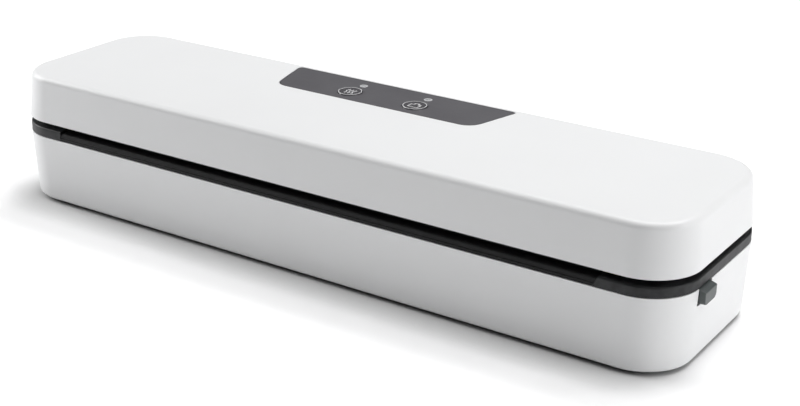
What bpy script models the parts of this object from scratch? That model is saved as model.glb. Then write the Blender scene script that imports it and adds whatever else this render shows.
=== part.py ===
"""Vacuum sealer: a long low base with a hinged lid, a pump, a seal bar and their controls.

Frame: metres, +X to the right end, +Y to the hinge side, +Z up, z = 0 under the rubber feet.
"""

import math

import bmesh
import bpy
from mathutils import Matrix, Vector

MM = 0.001

# Driving dimensions in millimetres.
LENGTH = 400.0
DEPTH = 106.0
CORNER = 25.5
WALL = 2.4
SHELL_BOTTOM = 1.5
SHELL_TOP = 38.8
RIM_BOTTOM = 39.1
RIM_TOP = 44.2
DECK_UNDER = 40.8
DECK_TOP = 43.0
LID_BOTTOM = 47.6
LID_TOP = 72.4
LID_CEILING = 70.0
LINER_UNDER = 48.6
LINER_TOP = 50.8
GAP = 0.3
CHAMBER_Y = -14.0
TRAY_SIZE = (313.4, 27.4)
TRAY_WALL = 1.5
TRAY_FLANGE = 3.0
FOAM_OUTSIDE = (330.0, 42.6)
FOAM_INSIDE = (320.8, 34.2)
FOAM_CORNER = 4.6
FOAM_WIDTH = 4.2
BAR_Y = -41.0
SLOT_HALF = 162.7
HINGE_Y = 50.7
HINGE_Z = 46.9
HINGE_X = 120.0
BARREL = 2.3
BUTTON_Y = -21.9
PANEL_X = -4.0
KEY_X = (-24.5, 16.5)
KEY_Y = 25.7
LIGHT_Y = 38.5
SCREW_SPOTS = ((-176, 36), (176, 36), (-172, -40), (172, -40))
FOOT_SPOTS = (("front_left", -150, -36), ("front_right", 150, -36),
              ("back_left", -150, 36), ("back_right", 150, 36))
SHAFT_Y = 24.0
SHAFT_Z = 17.5
PORT_X = (30.0, 8.0)
INLET_X = 150.0
INLET_Z = 20.0
SUPPLY_X = -60.0

for old in list(bpy.data.objects):
    bpy.data.objects.remove(old)

PARTS = bpy.data.collections.new("vacuum_sealer")
CUTTERS = bpy.data.collections.new("cutters")
for group in (PARTS, CUTTERS):
    bpy.context.scene.collection.children.link(group)


def finish(mesh, name, place, look):
    """Link a mesh as a named part, or as a hidden cutter when it has no look."""
    thing = bpy.data.objects.new(name, mesh)
    thing.location = Vector(place) * MM
    if look is None:
        CUTTERS.objects.link(thing)
        thing.hide_render = True
        thing.display_type = "WIRE"
        return thing
    PARTS.objects.link(thing)
    paint(thing, look)
    return thing


def paint(thing, look):
    """Give a part its own material from (red, green, blue, roughness, metallic)."""
    mat = bpy.data.materials.new(thing.name)
    mat.use_nodes = True
    shader = mat.node_tree.nodes["Principled BSDF"]
    shader.inputs["Base Color"].default_value = (*look[:3], 1.0)
    shader.inputs["Roughness"].default_value = look[3]
    shader.inputs["Metallic"].default_value = look[4]
    thing.data.materials.append(mat)


def to_mesh(bm, name, smooth=False):
    """Turn a bmesh in millimetres into mesh data in metres."""
    bmesh.ops.scale(bm, vec=(MM, MM, MM), verts=bm.verts)
    bmesh.ops.recalc_face_normals(bm, faces=bm.faces)
    mesh = bpy.data.meshes.new(name)
    bm.to_mesh(mesh)
    bm.free()
    if smooth:
        mesh.shade_smooth()
        mesh.set_sharp_from_angle(angle=math.radians(35))
    return mesh


def is_rim(edge, level):
    return all(abs(v.co.z - level) < 1e-4 for v in edge.verts)


def block(name, x, y, z0, z1, sx, sy, look=None, corner=0.0, steps=6, draft=(0.0, 0.0),
          top=0.0, bottom=0.0, turns=2):
    """A box with rounded vertical corners, inset bottom and top outlines and softened rims."""
    bm = bmesh.new()
    bmesh.ops.create_cube(bm, size=1.0)
    bmesh.ops.scale(bm, vec=(sx, sy, z1 - z0), verts=bm.verts)
    high = (z1 - z0) / 2
    if corner > 0:
        upright = [e for e in bm.edges if abs(e.verts[0].co.z - e.verts[1].co.z) > 1e-6]
        bmesh.ops.bevel(bm, geom=upright, offset=corner, segments=steps, profile=0.5,
                        affect="EDGES", clamp_overlap=False)
    for vert in bm.verts:
        inset = draft[0] if vert.co.z < 0 else draft[1]
        vert.co.x *= 1 - 2 * inset / sx
        vert.co.y *= 1 - 2 * inset / sy
    for level, size in ((high, top), (-high, bottom)):
        if size > 0:
            rim = [e for e in bm.edges if is_rim(e, level)]
            bmesh.ops.bevel(bm, geom=rim, offset=size, segments=turns, profile=0.5,
                            affect="EDGES", clamp_overlap=False)
    return finish(to_mesh(bm, name, corner > 0), name, (x, y, (z0 + z1) / 2), look)


def rod(name, start, length, radius, look=None, axis="X", sides=24, tip=None):
    """A round bar or cone from a start point along one axis."""
    bm = bmesh.new()
    bmesh.ops.create_cone(bm, cap_ends=True, segments=sides, radius1=radius,
                          radius2=radius if tip is None else tip, depth=length)
    bmesh.ops.translate(bm, vec=(0, 0, length / 2), verts=bm.verts)
    turn = {"X": Matrix.Rotation(math.pi / 2, 3, "Y"), "Y": Matrix.Rotation(-math.pi / 2, 3, "X"),
            "Z": Matrix.Identity(3)}[axis]
    bmesh.ops.rotate(bm, matrix=turn, verts=bm.verts)
    return finish(to_mesh(bm, name, True), name, start, look)


def boolean(thing, other, kind):
    mod = thing.modifiers.new(kind.lower() + "_" + other.name, "BOOLEAN")
    mod.operation = kind
    mod.solver = "EXACT"
    mod.object = other


def cut(thing, *others):
    for other in others:
        boolean(thing, other, "DIFFERENCE")


def fuse(thing, *others):
    for other in others:
        boolean(thing, other, "UNION")


def rounded_outline(corners, radii, steps=5):
    """Points round a polygon whose corners are each replaced by an arc-like curve."""
    points = []
    count = len(corners)
    for i, radius in enumerate(radii):
        here = Vector(corners[i])
        before = (Vector(corners[i - 1]) - here).normalized()
        after = (Vector(corners[(i + 1) % count]) - here).normalized()
        first = here + before * radius
        last = here + after * radius
        for k in range(steps + 1):
            t = k / steps
            points.append(first * (1 - t) ** 2 + here * 2 * t * (1 - t) + last * t ** 2)
    return points


def outline_plate(name, points, z0, z1, look=None):
    """A flat plate with the given outline, made from a filled two-dimensional curve."""
    curve = bpy.data.curves.new(name + "_outline", "CURVE")
    curve.dimensions = "2D"
    curve.fill_mode = "BOTH"
    curve.extrude = (z1 - z0) / 2 * MM
    line = curve.splines.new("POLY")
    line.points.add(len(points) - 1)
    for point, spot in zip(line.points, points):
        point.co = (spot[0] * MM, spot[1] * MM, 0, 1)
    line.use_cyclic_u = True
    holder = bpy.data.objects.new(name + "_outline", curve)
    bpy.context.scene.collection.objects.link(holder)
    mesh = bpy.data.meshes.new_from_object(holder)
    mesh.materials.clear()
    bm = bmesh.new()
    bm.from_mesh(mesh)
    bmesh.ops.remove_doubles(bm, verts=bm.verts, dist=1e-6)
    bmesh.ops.recalc_face_normals(bm, faces=bm.faces)
    bm.to_mesh(mesh)
    bm.free()
    bpy.data.objects.remove(holder)
    return finish(mesh, name, (0, 0, (z0 + z1) / 2), look)


def lead(name, points, radius, look):
    """A bent wire, hose or coil along a line of points."""
    curve = bpy.data.curves.new(name, "CURVE")
    curve.dimensions = "3D"
    curve.bevel_depth = radius * MM
    curve.bevel_resolution = 2
    curve.use_fill_caps = True
    line = curve.splines.new("POLY")
    line.points.add(len(points) - 1)
    for point, spot in zip(line.points, points):
        point.co = (spot[0] * MM, spot[1] * MM, spot[2] * MM, 1)
    thing = bpy.data.objects.new(name, curve)
    PARTS.objects.link(thing)
    paint(thing, look)
    return thing


def eased(points, rounds=1):
    """Cut the corners of a path so that it bends gently."""
    for _ in range(rounds):
        path = [points[0]]
        for a, b in zip(points, points[1:]):
            path.append(tuple(0.75 * p + 0.25 * q for p, q in zip(a, b)))
            path.append(tuple(0.25 * p + 0.75 * q for p, q in zip(a, b)))
        path.append(points[-1])
        points = path
    return points


WHITE = (0.84, 0.85, 0.86, 0.42, 0.0)
CHARCOAL = (0.045, 0.047, 0.05, 0.5, 0.0)
GREY = (0.13, 0.135, 0.14, 0.45, 0.0)
RUBBER = (0.02, 0.02, 0.022, 0.8, 0.0)
FOAM = (0.05, 0.05, 0.055, 0.9, 0.0)
STEEL = (0.6, 0.6, 0.62, 0.3, 1.0)
BRASS = (0.7, 0.52, 0.2, 0.35, 1.0)
BOARD = (0.03, 0.22, 0.09, 0.5, 0.0)
TAPE = (0.42, 0.24, 0.1, 0.4, 0.0)
CLEAR = (0.85, 0.9, 0.88, 0.2, 0.0)
HOSE = (0.75, 0.76, 0.74, 0.5, 0.0)


def foam_ring(name, z0, z1, grow, look=None):
    """An oblong ring round the vacuum chamber, grown on all its sides."""
    outside = [size + 2 * grow for size in FOAM_OUTSIDE]
    inside = [size - 2 * grow for size in FOAM_INSIDE]
    ring = block(name, 0, CHAMBER_Y, z0, z1, *outside, look, corner=FOAM_CORNER + grow)
    cut(ring, block(name + "_inside", 0, CHAMBER_Y, z0 - 1, z1 + 1, *inside,
                    corner=FOAM_CORNER - FOAM_WIDTH - grow))
    return ring


def base_shell():
    shell = block("base_shell", 0, 0, SHELL_BOTTOM, SHELL_TOP, LENGTH, DEPTH, WHITE,
                  corner=CORNER, steps=8, draft=(0.9, 0.0), bottom=2.0)
    inner = 3.2
    ledge = 2.2
    cut(shell,
        block("shell_hollow", 0, 0, 4.6, 45, LENGTH - 2 * inner, DEPTH - 2 * inner,
              corner=CORNER - inner, steps=8),
        block("shell_rebate", 0, 0, -2, 4.7, LENGTH - 2 * ledge - 0.8, DEPTH - 2 * ledge - 0.8,
              corner=CORNER - inner + 0.5, steps=8),
        block("inlet_window", INLET_X, 52, 13.4, 26.6, 20.6, 12))
    for side in (-1, 1):
        cut(shell, block("button_window", side * 199, BUTTON_Y, 30.4, 45, 12, 14.0))


def bottom_cover():
    cover = block("bottom_cover", 0, 0, 1.9, 4.3, LENGTH - 5.8, DEPTH - 5.8, GREY,
                  corner=CORNER - 3.0, steps=6)
    for x in (-146, -44):
        for y in (-26, 36):
            fuse(cover, rod("standoff", (x, y, 4.0), 3.7, 3.0, axis="Z", sides=12))
    for x, y in SCREW_SPOTS:
        cut(cover,
            rod("head_well", (x, y, 0), 3.5, 3.2, axis="Z", sides=16),
            rod("shank_hole", (x, y, 0), 9, 1.6, axis="Z", sides=12))
    for _, x, y in FOOT_SPOTS:
        cut(cover, rod("foot_well", (x, y, 0), 2.9, 7.4, axis="Z"))
    for k in range(6):
        cut(cover, block("vent_slot", 60 + 9 * k, 24, 0, 8, 3.0, 26))


def feet_and_cover_screws():
    for spot, x, y in FOOT_SPOTS:
        rod("foot_" + spot, (x, y, 0), 2.6, 6.4, RUBBER, axis="Z", tip=7.0)
    for k, (x, y) in enumerate(SCREW_SPOTS):
        screw = rod("cover_screw_%d" % (k + 1), (x, y, 2.1), 1.1, 2.8, STEEL, axis="Z", sides=16)
        fuse(screw, rod("cover_shank", (x, y, 2.6), 11, 1.2, axis="Z", sides=12))


def barrels(thing, spans):
    """Hinge barrels on both hinges, each on its own web or post, bored for the pin."""
    for side in (-1, 1):
        for low, high, web_z0, web_z1, web_y0, web_y1 in spans:
            x = side * HINGE_X + (low + high) / 2
            fuse(thing, rod("barrel", (side * HINGE_X + low, HINGE_Y, HINGE_Z), high - low, BARREL))
            fuse(thing, block("barrel_web", x, (web_y0 + web_y1) / 2, web_z0, web_z1,
                              high - low, web_y1 - web_y0))
    for side in (-1, 1):
        cut(thing, rod("pin_bore", (side * HINGE_X - 20, HINGE_Y, HINGE_Z), 40, 1.1, sides=16))


def base_deck():
    deck = block("base_deck", 0, 0, RIM_BOTTOM, RIM_TOP, LENGTH - 0.4, DEPTH - 0.4, CHARCOAL,
                 corner=CORNER - 0.2, steps=8, top=0.8, turns=1)
    fuse(deck, block("deck_skirt", 0, 0, 36.5, 39.8, LENGTH - 7.2, DEPTH - 7.2,
                     corner=CORNER - 3.6, steps=8))
    cut(deck,
        block("deck_pocket", 0, 0, DECK_TOP, 60, LENGTH - 11.4, DEPTH - 11.4,
              corner=CORNER - 5.7, steps=8),
        block("deck_underside", 0, 0, 20, DECK_UNDER, LENGTH - 12, DEPTH - 12,
              corner=CORNER - 6, steps=8))
    for x, y in SCREW_SPOTS:
        fuse(deck, rod("column", (x, y, 4.6), 37, 4.0, axis="Z", sides=16))
        cut(deck, rod("pilot", (x, y, 0), 16, 1.5, axis="Z", sides=12))
    for side in (-1, 1):
        fuse(deck, block("spring_rib", side * 183, BUTTON_Y, 22.5, 41.5, 2, 16))
        cut(deck,
            block("hook_slot", side * 183, BUTTON_Y, 30.3, 60, 14, 7.6),
            block("skirt_gate", side * 196, BUTTON_Y, 30, RIM_BOTTOM, 12, 15),
            rod("clamp_hole", (side * 165, BAR_Y, 30), 20, 2.1, axis="Z", sides=12))
    barrels(deck, ((-18, -8, 43.4, HINGE_Z, 48.5, 52.5), (8, 18, 43.4, HINGE_Z, 48.5, 52.5)))
    cut(deck,
        block("tray_opening", 0, CHAMBER_Y, 30, 60, TRAY_SIZE[0] + 2 * GAP, TRAY_SIZE[1] + 2 * GAP),
        block("bar_slot", 0, BAR_Y, 30, 60, 319.6, 8.6),
        block("lip_seat", 0, -52, RIM_BOTTOM - 0.3, 60, 2 * SLOT_HALF, 10),
        block("supply_slot", SUPPLY_X, 45.1, 30, 60, 12, 3.6))


def bag_lip():
    lip = block("bag_lip", 0, -49.95, RIM_BOTTOM, 43.8, 2 * (SLOT_HALF - GAP), 5.3, CHARCOAL)
    bm = bmesh.new()
    bm.from_mesh(lip.data)
    front = min(v.co.y for v in bm.verts)
    for vert in bm.verts:
        if vert.co.z > 0 and abs(vert.co.y - front) < 1e-6:
            vert.co.z -= 1.2 * MM
    bm.to_mesh(lip.data)
    bm.free()


def drip_tray():
    def oblong(name, z0, z1, grow, look=None):
        """A block with the tray's outline, grown on all its sides."""
        return block(name, 0, CHAMBER_Y, z0, z1, TRAY_SIZE[0] + 2 * grow, TRAY_SIZE[1] + 2 * grow, look)

    tray = oblong("drip_tray", DECK_TOP + GAP, 44.3, TRAY_FLANGE, GREY)
    fuse(tray, oblong("tray_tub", 33.5, 43.9, 0))
    for x in PORT_X:
        fuse(tray, rod("suction_port", (x, CHAMBER_Y, 27), 7.5, 2.6, axis="Z", sides=16))
    cut(tray, oblong("tray_well", 35.3, 60, -TRAY_WALL))
    for x in PORT_X:
        cut(tray, rod("port_bore", (x, CHAMBER_Y, 20), 20, 1.4, axis="Z", sides=12))


def sealing_parts():
    bar = block("seal_bar", 0, BAR_Y, 37.0, 43.9, 319, 8.0, GREY)
    fuse(bar, block("bar_foot", 0, BAR_Y, 37.0, 40.4, 319, 12.0))
    block("heating_strip", 0, BAR_Y, 44.2, 44.5, 317, 4.0, STEEL)
    block("sealing_tape", 0, BAR_Y, 44.8, 45.1, 318, 9.0, TAPE)
    for side, word in ((-1, "left"), (1, "right")):
        clamp = block("strip_clamp_" + word, side * 165.0, BAR_Y, 43.3, 45.3, 8.4, 7.6, BRASS)
        fuse(clamp, rod("clamp_stud", (side * 165.0, BAR_Y, 36.5), 7.5, 1.5, axis="Z", sides=12))


def release_button(side, word):
    def at(low, high):
        """Centre and width in X of a span measured outwards from the middle of the sealer."""
        return side * (low + high) / 2, high - low

    x, wide = at(193.5, 203.0)
    button = block("release_button_" + word, x, BUTTON_Y, 30.9, 38.6, wide, 13.0, GREY,
                   corner=1.2, steps=2, top=0.5, bottom=0.5, turns=1)
    x, wide = at(193.0, 196.3)
    fuse(button, block("button_flange", x, BUTTON_Y, 22.0, 36.1, wide, 20))
    x, wide = at(174.5, 194.0)
    fuse(button, block("button_arm", x, BUTTON_Y, 30.9, 34.6, wide, 6.0))
    x, wide = at(174.5, 178.0)
    fuse(button, block("catch_post", x, BUTTON_Y, 34.0, 39.0, wide, 6.0))
    x, wide = at(177.0, 180.4)
    fuse(button, block("catch_nose", x, BUTTON_Y, 37.8, 39.0, wide, 6.0))
    turns = 4
    sides = 10
    start = 184.7
    length = 7.6
    points = []
    for k in range(turns * sides + 1):
        a = 2 * math.pi * k / sides
        points.append((side * (start + length * k / (turns * sides)),
                       BUTTON_Y + 2.6 * math.cos(a), 26.2 + 2.6 * math.sin(a)))
    lead("button_spring_" + word, points, 0.35, STEEL)


def vacuum_works():
    rod("pump_motor", (92.2, SHAFT_Y, SHAFT_Z), 32, 12.0, STEEL, sides=32)
    case = block("pump_crankcase", 75.8, SHAFT_Y, 5.0, 29.6, 31.8, 28, CHARCOAL, corner=3, steps=2)
    cut(case,
        rod("crank_space", (55, SHAFT_Y, SHAFT_Z), 31, 9.0),
        rod("shaft_bore", (55, SHAFT_Y, SHAFT_Z), 45, 1.7, sides=16))
    crank = rod("pump_crank", (66, SHAFT_Y, SHAFT_Z), 25.8, 1.2, STEEL, sides=16)
    throw = rod("crank_throw", (66.5, SHAFT_Y, SHAFT_Z + 1.5), 9, 5.5)
    fuse(crank, throw)
    head = block("pump_head", 75.8, SHAFT_Y, 29.9, 35.6, 29, 25, GREY, corner=2, steps=2)
    for y in (SHAFT_Y - 6, SHAFT_Y + 6):
        fuse(head, rod("nipple", (54, y, 32.7), 9, 1.9, sides=12))
    lead("pump_hose", eased([(53.6, 18, 32.7), (45, 18, 32.7), (38, 8, 24), (PORT_X[0], -8, 16),
                             (PORT_X[0], CHAMBER_Y, 18), (PORT_X[0], CHAMBER_Y, 26.6)]), 2.4, HOSE)
    valve = block("vent_valve", 10, 26, 4.7, 20, 16, 14, GREY, corner=1, steps=1)
    fuse(valve, rod("valve_nipple", (10, 26, 19), 6, 1.8, axis="Z", sides=12))
    lead("valve_hose", eased([(10, 26, 25.4), (10, 26, 31), (9.5, 10, 31), (9, 2, 16),
                              (PORT_X[1], CHAMBER_Y, 15), (PORT_X[1], CHAMBER_Y, 26.6)]), 2.2, HOSE)


def electric_works():
    block("main_board", -95, 5, 8.0, 9.6, 112, 72, BOARD)
    block("power_transformer", -122, 16, 9.9, 34, 38, 32, CHARCOAL, corner=2, steps=1)
    fuse(bpy.data.objects["power_transformer"],
         block("winding", -122, 16, 12.4, 31.5, 26, 39, corner=4, steps=2))
    rod("filter_capacitor", (-86, 16, 9.9), 21, 7.0, CHARCOAL, axis="Z")
    block("heater_relay", -62, 8, 9.9, 25.4, 19, 15, GREY, corner=0.8, steps=1)
    inlet = block("power_inlet", INLET_X, 45.6, 13.7, 26.3, 20, 13.4, RUBBER, corner=1, steps=1)
    fuse(inlet, block("inlet_flange", INLET_X, 48.2, 11.7, 28.3, 24, 2.2))
    cut(inlet, block("inlet_socket", INLET_X, 52, 15.8, 24.2, 16.8, 19, corner=0.2, steps=1))
    for side in (-1, 1):
        fuse(inlet, rod("inlet_pin", (INLET_X + side * 4.3, 41.5, INLET_Z), 8.5, 1.2, axis="Y",
                        sides=12))
    lead("heater_lead_left", eased([(-165, BAR_Y, 36.1), (-165, BAR_Y, 24), (-160, -38, 14),
                                    (-148, -27, 14), (-146, -22, 10.9)]), 1.0, TAPE)
    lead("heater_lead_right", eased([(165, BAR_Y, 36.1), (165, BAR_Y, 20), (162, -40, 7),
                                     (140, -22, 6.2), (-20, -22, 6.2), (-30, -22, 8.8),
                                     (-38.6, -22, 8.8)]), 1.0, TAPE)
    lead("pump_lead", eased([(124.6, SHAFT_Y, SHAFT_Z), (130, SHAFT_Y, SHAFT_Z), (130, 32, 7),
                             (126, 42, 6.2), (-20, 42, 6.2), (-30, 34, 8.8), (-38.6, 34, 8.8)]),
         1.1, RUBBER)
    lead("inlet_lead", eased([(INLET_X, 38.5, INLET_Z), (INLET_X, 30, INLET_Z), (148, 6, 9),
                              (138, 0, 6.4), (-20, 0, 6.4), (-30, 0, 8.8), (-38.6, 0, 8.8)]),
         1.4, HOSE)
    lead("lid_lead", eased([(-52.0, 38, 60.2), (SUPPLY_X, 42, 60), (SUPPLY_X, 46, 54),
                            (SUPPLY_X, 46, 48), (SUPPLY_X, 45.1, 44), (SUPPLY_X, 45.1, 30),
                            (SUPPLY_X, 42, 16), (SUPPLY_X, 36, 11.3)]), 1.1, HOSE)


def hinge_pins():
    for side, word in ((-1, "left"), (1, "right")):
        rod("hinge_pin_" + word, (side * HINGE_X - 17.8, HINGE_Y, HINGE_Z), 35.6, 1.0, STEEL,
            sides=16)


def panel_outline(grow):
    """The control panel's outline: wider at the hinge side, symmetric about its own middle."""
    back_half = 69.6 + grow * 1.3
    front_half = 61.4 + grow
    y0 = 14.0 - grow
    y1 = 46.6 + grow
    corners = [(PANEL_X - front_half, y0), (PANEL_X + front_half, y0),
               (PANEL_X + back_half, y1), (PANEL_X - back_half, y1)]
    return rounded_outline(corners, (8.0, 8.0, 3.5, 3.5))


def lid_shell():
    shell = block("lid_shell", 0, 0, LID_BOTTOM, LID_TOP, LENGTH, DEPTH, WHITE,
                  corner=CORNER, steps=8, draft=(0.0, 1.8), top=3.2, turns=3)
    cut(shell, block("lid_hollow", 0, 0, LID_BOTTOM - 4, LID_CEILING, LENGTH - 2 * WALL,
                     DEPTH - 2 * WALL, corner=CORNER - WALL, steps=8, draft=(0.0, 1.8),
                     top=1.0, turns=1))
    for x, y in SCREW_SPOTS:
        fuse(shell, rod("lid_column", (x, y, 51.2), 20, 3.6, axis="Z", sides=16))
        cut(shell, rod("lid_pilot", (x, y, 50), 10, 1.3, axis="Z", sides=12))
    for x in (-44, 36):
        fuse(shell, rod("board_column", (x, 31, 61.4), 10, 3.0, axis="Z", sides=12))
        cut(shell, rod("board_pilot", (x, 31, 60), 7, 1.1, axis="Z", sides=10))
    cut(shell, outline_plate("panel_pocket", panel_outline(0.3), 70.9, 80))
    for x in KEY_X:
        cut(shell,
            rod("key_hole", (x, KEY_Y, 60), 20, 5.5, axis="Z"),
            rod("light_hole", (x, LIGHT_Y, 60), 20, 2.6, axis="Z", sides=16))
    for side in (-1, 1):
        cut(shell, block("hinge_notch", side * HINGE_X, 51.5, 44, 49.8, 37, 8))
    cut(shell, block("lead_notch", SUPPLY_X, 51.5, 44, 48.6, 14, 8))


def lid_liner():
    liner = block("lid_liner", 0, 0, LINER_UNDER, LINER_TOP, LENGTH - 6.8, DEPTH - 6.8, CHARCOAL,
                  corner=CORNER - 3.4, steps=8)
    for side in (-1, 1):
        cut(liner, block("barrel_room", side * HINGE_X, 51.8, 45, 49.6, 36.8, 8))
    barrels(liner, ((-7.6, 7.6, HINGE_Z, 50.2, 46.0, 49.4),))
    for side in (-1, 1):
        fuse(liner,
             block("hook_stem", side * 182.6, BUTTON_Y, 39.4, 49.6, 3.0, 3.8),
             block("hook_barb", side * 180.6, BUTTON_Y, 39.4, 40.4, 2.6, 3.8))
    cut(liner,
        foam_ring("liner_groove", 47.5, 49.8, GAP),
        block("strip_groove", 0, BAR_Y, 47.5, 49.8, 320.6, 8.6),
        block("liner_slot", SUPPLY_X, 46.0, 45, 55, 12, 4.6))
    for x, y in SCREW_SPOTS:
        cut(liner, rod("liner_hole", (x, y, 45), 9, 1.6, axis="Z", sides=12))


def lid_parts():
    block("pressure_strip", 0, BAR_Y, 46.0, 49.5, 320, 8.0, RUBBER, corner=1.0, steps=1,
          bottom=0.8, turns=1)
    for k, (x, y) in enumerate(SCREW_SPOTS):
        screw = rod("lid_screw_%d" % (k + 1), (x, y, 47.1), 1.2, 2.8, STEEL, axis="Z", sides=16)
        fuse(screw, rod("lid_shank", (x, y, 47.6), 9, 1.1, axis="Z", sides=12))
    panel = outline_plate("control_panel", panel_outline(0.0), 71.2, 72.3, GREY)
    for x in KEY_X:
        cut(panel,
            rod("panel_key_hole", (x, KEY_Y, 60), 20, 6.95, axis="Z", sides=32),
            rod("panel_light_hole", (x, LIGHT_Y, 60), 20, 2.6, axis="Z", sides=16))
    block("control_board", -4, 31, 59.4, 61.0, 92, 26, BOARD)
    for x in (-44, 36):
        cut(bpy.data.objects["control_board"],
            rod("board_hole", (x, 31, 55), 9, 1.5, axis="Z", sides=12))
    for x, word in zip((-44, 36), ("left", "right")):
        screw = rod("board_screw_" + word, (x, 31, 57.9), 1.2, 2.4, STEEL, axis="Z", sides=12)
        fuse(screw, rod("board_shank", (x, 31, 58.4), 7, 0.8, axis="Z", sides=10))


def keys_and_lights():
    for x, word in zip(KEY_X, ("vacuum_seal", "seal_only")):
        key = rod(word + "_key", (x, KEY_Y, 71.8), 1.1, 6.6, GREY, axis="Z", sides=32, tip=6.4)
        fuse(key, rod(word + "_stem", (x, KEY_Y, 66.0), 6.2, 4.6, axis="Z", sides=20))
        block(word + "_switch", x, KEY_Y, 61.3, 65.0, 6, 6, CHARCOAL)
        rod(word + "_light", (x, LIGHT_Y, 61.4), 10.95, 2.2, CLEAR, axis="Z", sides=16)


base_shell()
bottom_cover()
feet_and_cover_screws()
base_deck()
bag_lip()
drip_tray()
foam_ring("lower_gasket", DECK_TOP + GAP, LID_BOTTOM - GAP, 0, FOAM)
sealing_parts()
release_button(-1, "left")
release_button(1, "right")
vacuum_works()
electric_works()
hinge_pins()
lid_shell()
lid_liner()
foam_ring("upper_gasket", LID_BOTTOM, 49.5, 0, FOAM)
lid_parts()
keys_and_lights()
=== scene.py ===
"""Vacuum sealer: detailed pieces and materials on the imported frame, with a plain studio."""

import math

import bmesh
import bpy
from mathutils import Matrix, Vector, noise


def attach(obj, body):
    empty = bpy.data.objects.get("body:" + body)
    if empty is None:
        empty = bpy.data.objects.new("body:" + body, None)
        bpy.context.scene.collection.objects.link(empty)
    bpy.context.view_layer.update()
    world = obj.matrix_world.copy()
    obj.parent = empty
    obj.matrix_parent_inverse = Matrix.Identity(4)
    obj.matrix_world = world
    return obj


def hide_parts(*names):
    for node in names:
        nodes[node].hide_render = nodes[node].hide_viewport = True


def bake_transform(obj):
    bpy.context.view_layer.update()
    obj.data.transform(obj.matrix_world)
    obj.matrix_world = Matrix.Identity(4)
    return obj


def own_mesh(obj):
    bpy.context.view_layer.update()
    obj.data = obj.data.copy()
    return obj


MM = 0.001
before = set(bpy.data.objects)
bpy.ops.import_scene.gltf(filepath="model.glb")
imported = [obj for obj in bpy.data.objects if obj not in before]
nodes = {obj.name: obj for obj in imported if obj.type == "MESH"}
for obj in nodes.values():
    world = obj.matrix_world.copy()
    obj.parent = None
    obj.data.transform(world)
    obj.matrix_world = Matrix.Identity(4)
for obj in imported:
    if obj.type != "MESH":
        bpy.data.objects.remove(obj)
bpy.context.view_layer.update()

# Sizes of the object in millimetres, as the CAD model has them.
LENGTH = 400.0
DEPTH = 106.0
CORNER = 25.5
SHELL_BOTTOM = 1.5
SHELL_TOP = 38.8
RIM_BOTTOM = 39.1
RIM_TOP = 44.2
LID_BOTTOM = 47.6
LID_TOP = 72.4
LID_CEILING = 70.0
WALL = 2.4
GAP = 0.3
DECK_UNDER = 40.8
DECK_TOP = 43.0
LINER_UNDER = 48.6
LINER_TOP = 50.8
CHAMBER_Y = -14.0
TRAY_SIZE = (313.4, 27.4)
TRAY_CORNER = 3.7
TRAY_WALL = 1.5
TRAY_FLANGE = 3.0
FOAM_SIZE = (325.4, 38.4)
FOAM_CORNER = 9.2
FOAM_WIDTH = 4.2
PORT_X = (30.0, 8.0)
FOOT_SPOTS = {"front_left": (-150, -36), "front_right": (150, -36),
              "back_left": (-150, 36), "back_right": (150, 36)}
BAR_Y = -41.0
SLOT_HALF = 162.7
HINGE_X = 120.0
HINGE_Y = 50.7
HINGE_Z = 46.9
BARREL = 2.3
BUTTON_Y = -21.9
PANEL_X = -4.0
KEY_X = (-24.5, 16.5)
KEY_Y = 25.7
LIGHT_Y = 38.5
INLET_X = 150.0
INLET_Z = 20.0
SUPPLY_X = -60.0
SHAFT_Y = 24.0
SHAFT_Z = 17.5
SCREW_SPOTS = ((-176, 36), (176, 36), (-172, -40), (172, -40))


SIDES = ((-1, "left"), (1, "right"))
KEY_WORDS = tuple(zip(KEY_X, ("vacuum_seal", "seal_only")))

# Fixing points, ends and heights shared by several pieces.
BOARD_SCREWS = (-44, 36)
BOARD_SCREW_Y = 31
BOARD_PEGS = [(x, y) for x in (-146, -44) for y in (-26, 36)]
HOOK_X = 183.0
CLAMP_X = 165.0
PIN_LENGTH = 35.6
BORE = 1.1
KEY_HOLE = 6.95
PANEL_UNDER = 71.2
PANEL_TOP = 72.3

# Shading: where edge wear starts and ends, and the angles that softening rounds and keeps sharp.
WEAR_RANGE = (0.52, 0.60)
ROUND_ANGLE = 50.0
SHARP_ANGLE = 40.0
SMOOTH_ANGLE = 35.0
TURNED = {"X": Matrix.Rotation(math.pi / 2, 3, "Y"), "Y": Matrix.Rotation(-math.pi / 2, 3, "X"),
          "Z": Matrix.Identity(3)}


# ---------------------------------------------------------------- materials

def new_material(name):
    mat = bpy.data.materials.new(name)
    mat.use_nodes = True
    tree = mat.node_tree
    return mat, tree, tree.nodes["Principled BSDF"]


def link(tree, a, b):
    tree.links.new(a, b)


def coords(tree, scale=(1, 1, 1)):
    """Object coordinates, stretched by a scale."""
    place = tree.nodes.new("ShaderNodeTexCoord")
    mapping = tree.nodes.new("ShaderNodeMapping")
    mapping.inputs["Scale"].default_value = scale
    link(tree, place.outputs["Object"], mapping.inputs["Vector"])
    return mapping.outputs["Vector"]


def noise_node(tree, where, scale, detail=3.0, rough=0.5):
    node = tree.nodes.new("ShaderNodeTexNoise")
    node.inputs["Scale"].default_value = scale
    node.inputs["Detail"].default_value = detail
    node.inputs["Roughness"].default_value = rough
    link(tree, where, node.inputs["Vector"])
    return node.outputs["Fac"]


def ramp(tree, value, low, high, a=0.0, b=1.0):
    node = tree.nodes.new("ShaderNodeMapRange")
    node.inputs["From Min"].default_value = low
    node.inputs["From Max"].default_value = high
    node.inputs["To Min"].default_value = a
    node.inputs["To Max"].default_value = b
    link(tree, value, node.inputs["Value"])
    return node.outputs["Result"]


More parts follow.
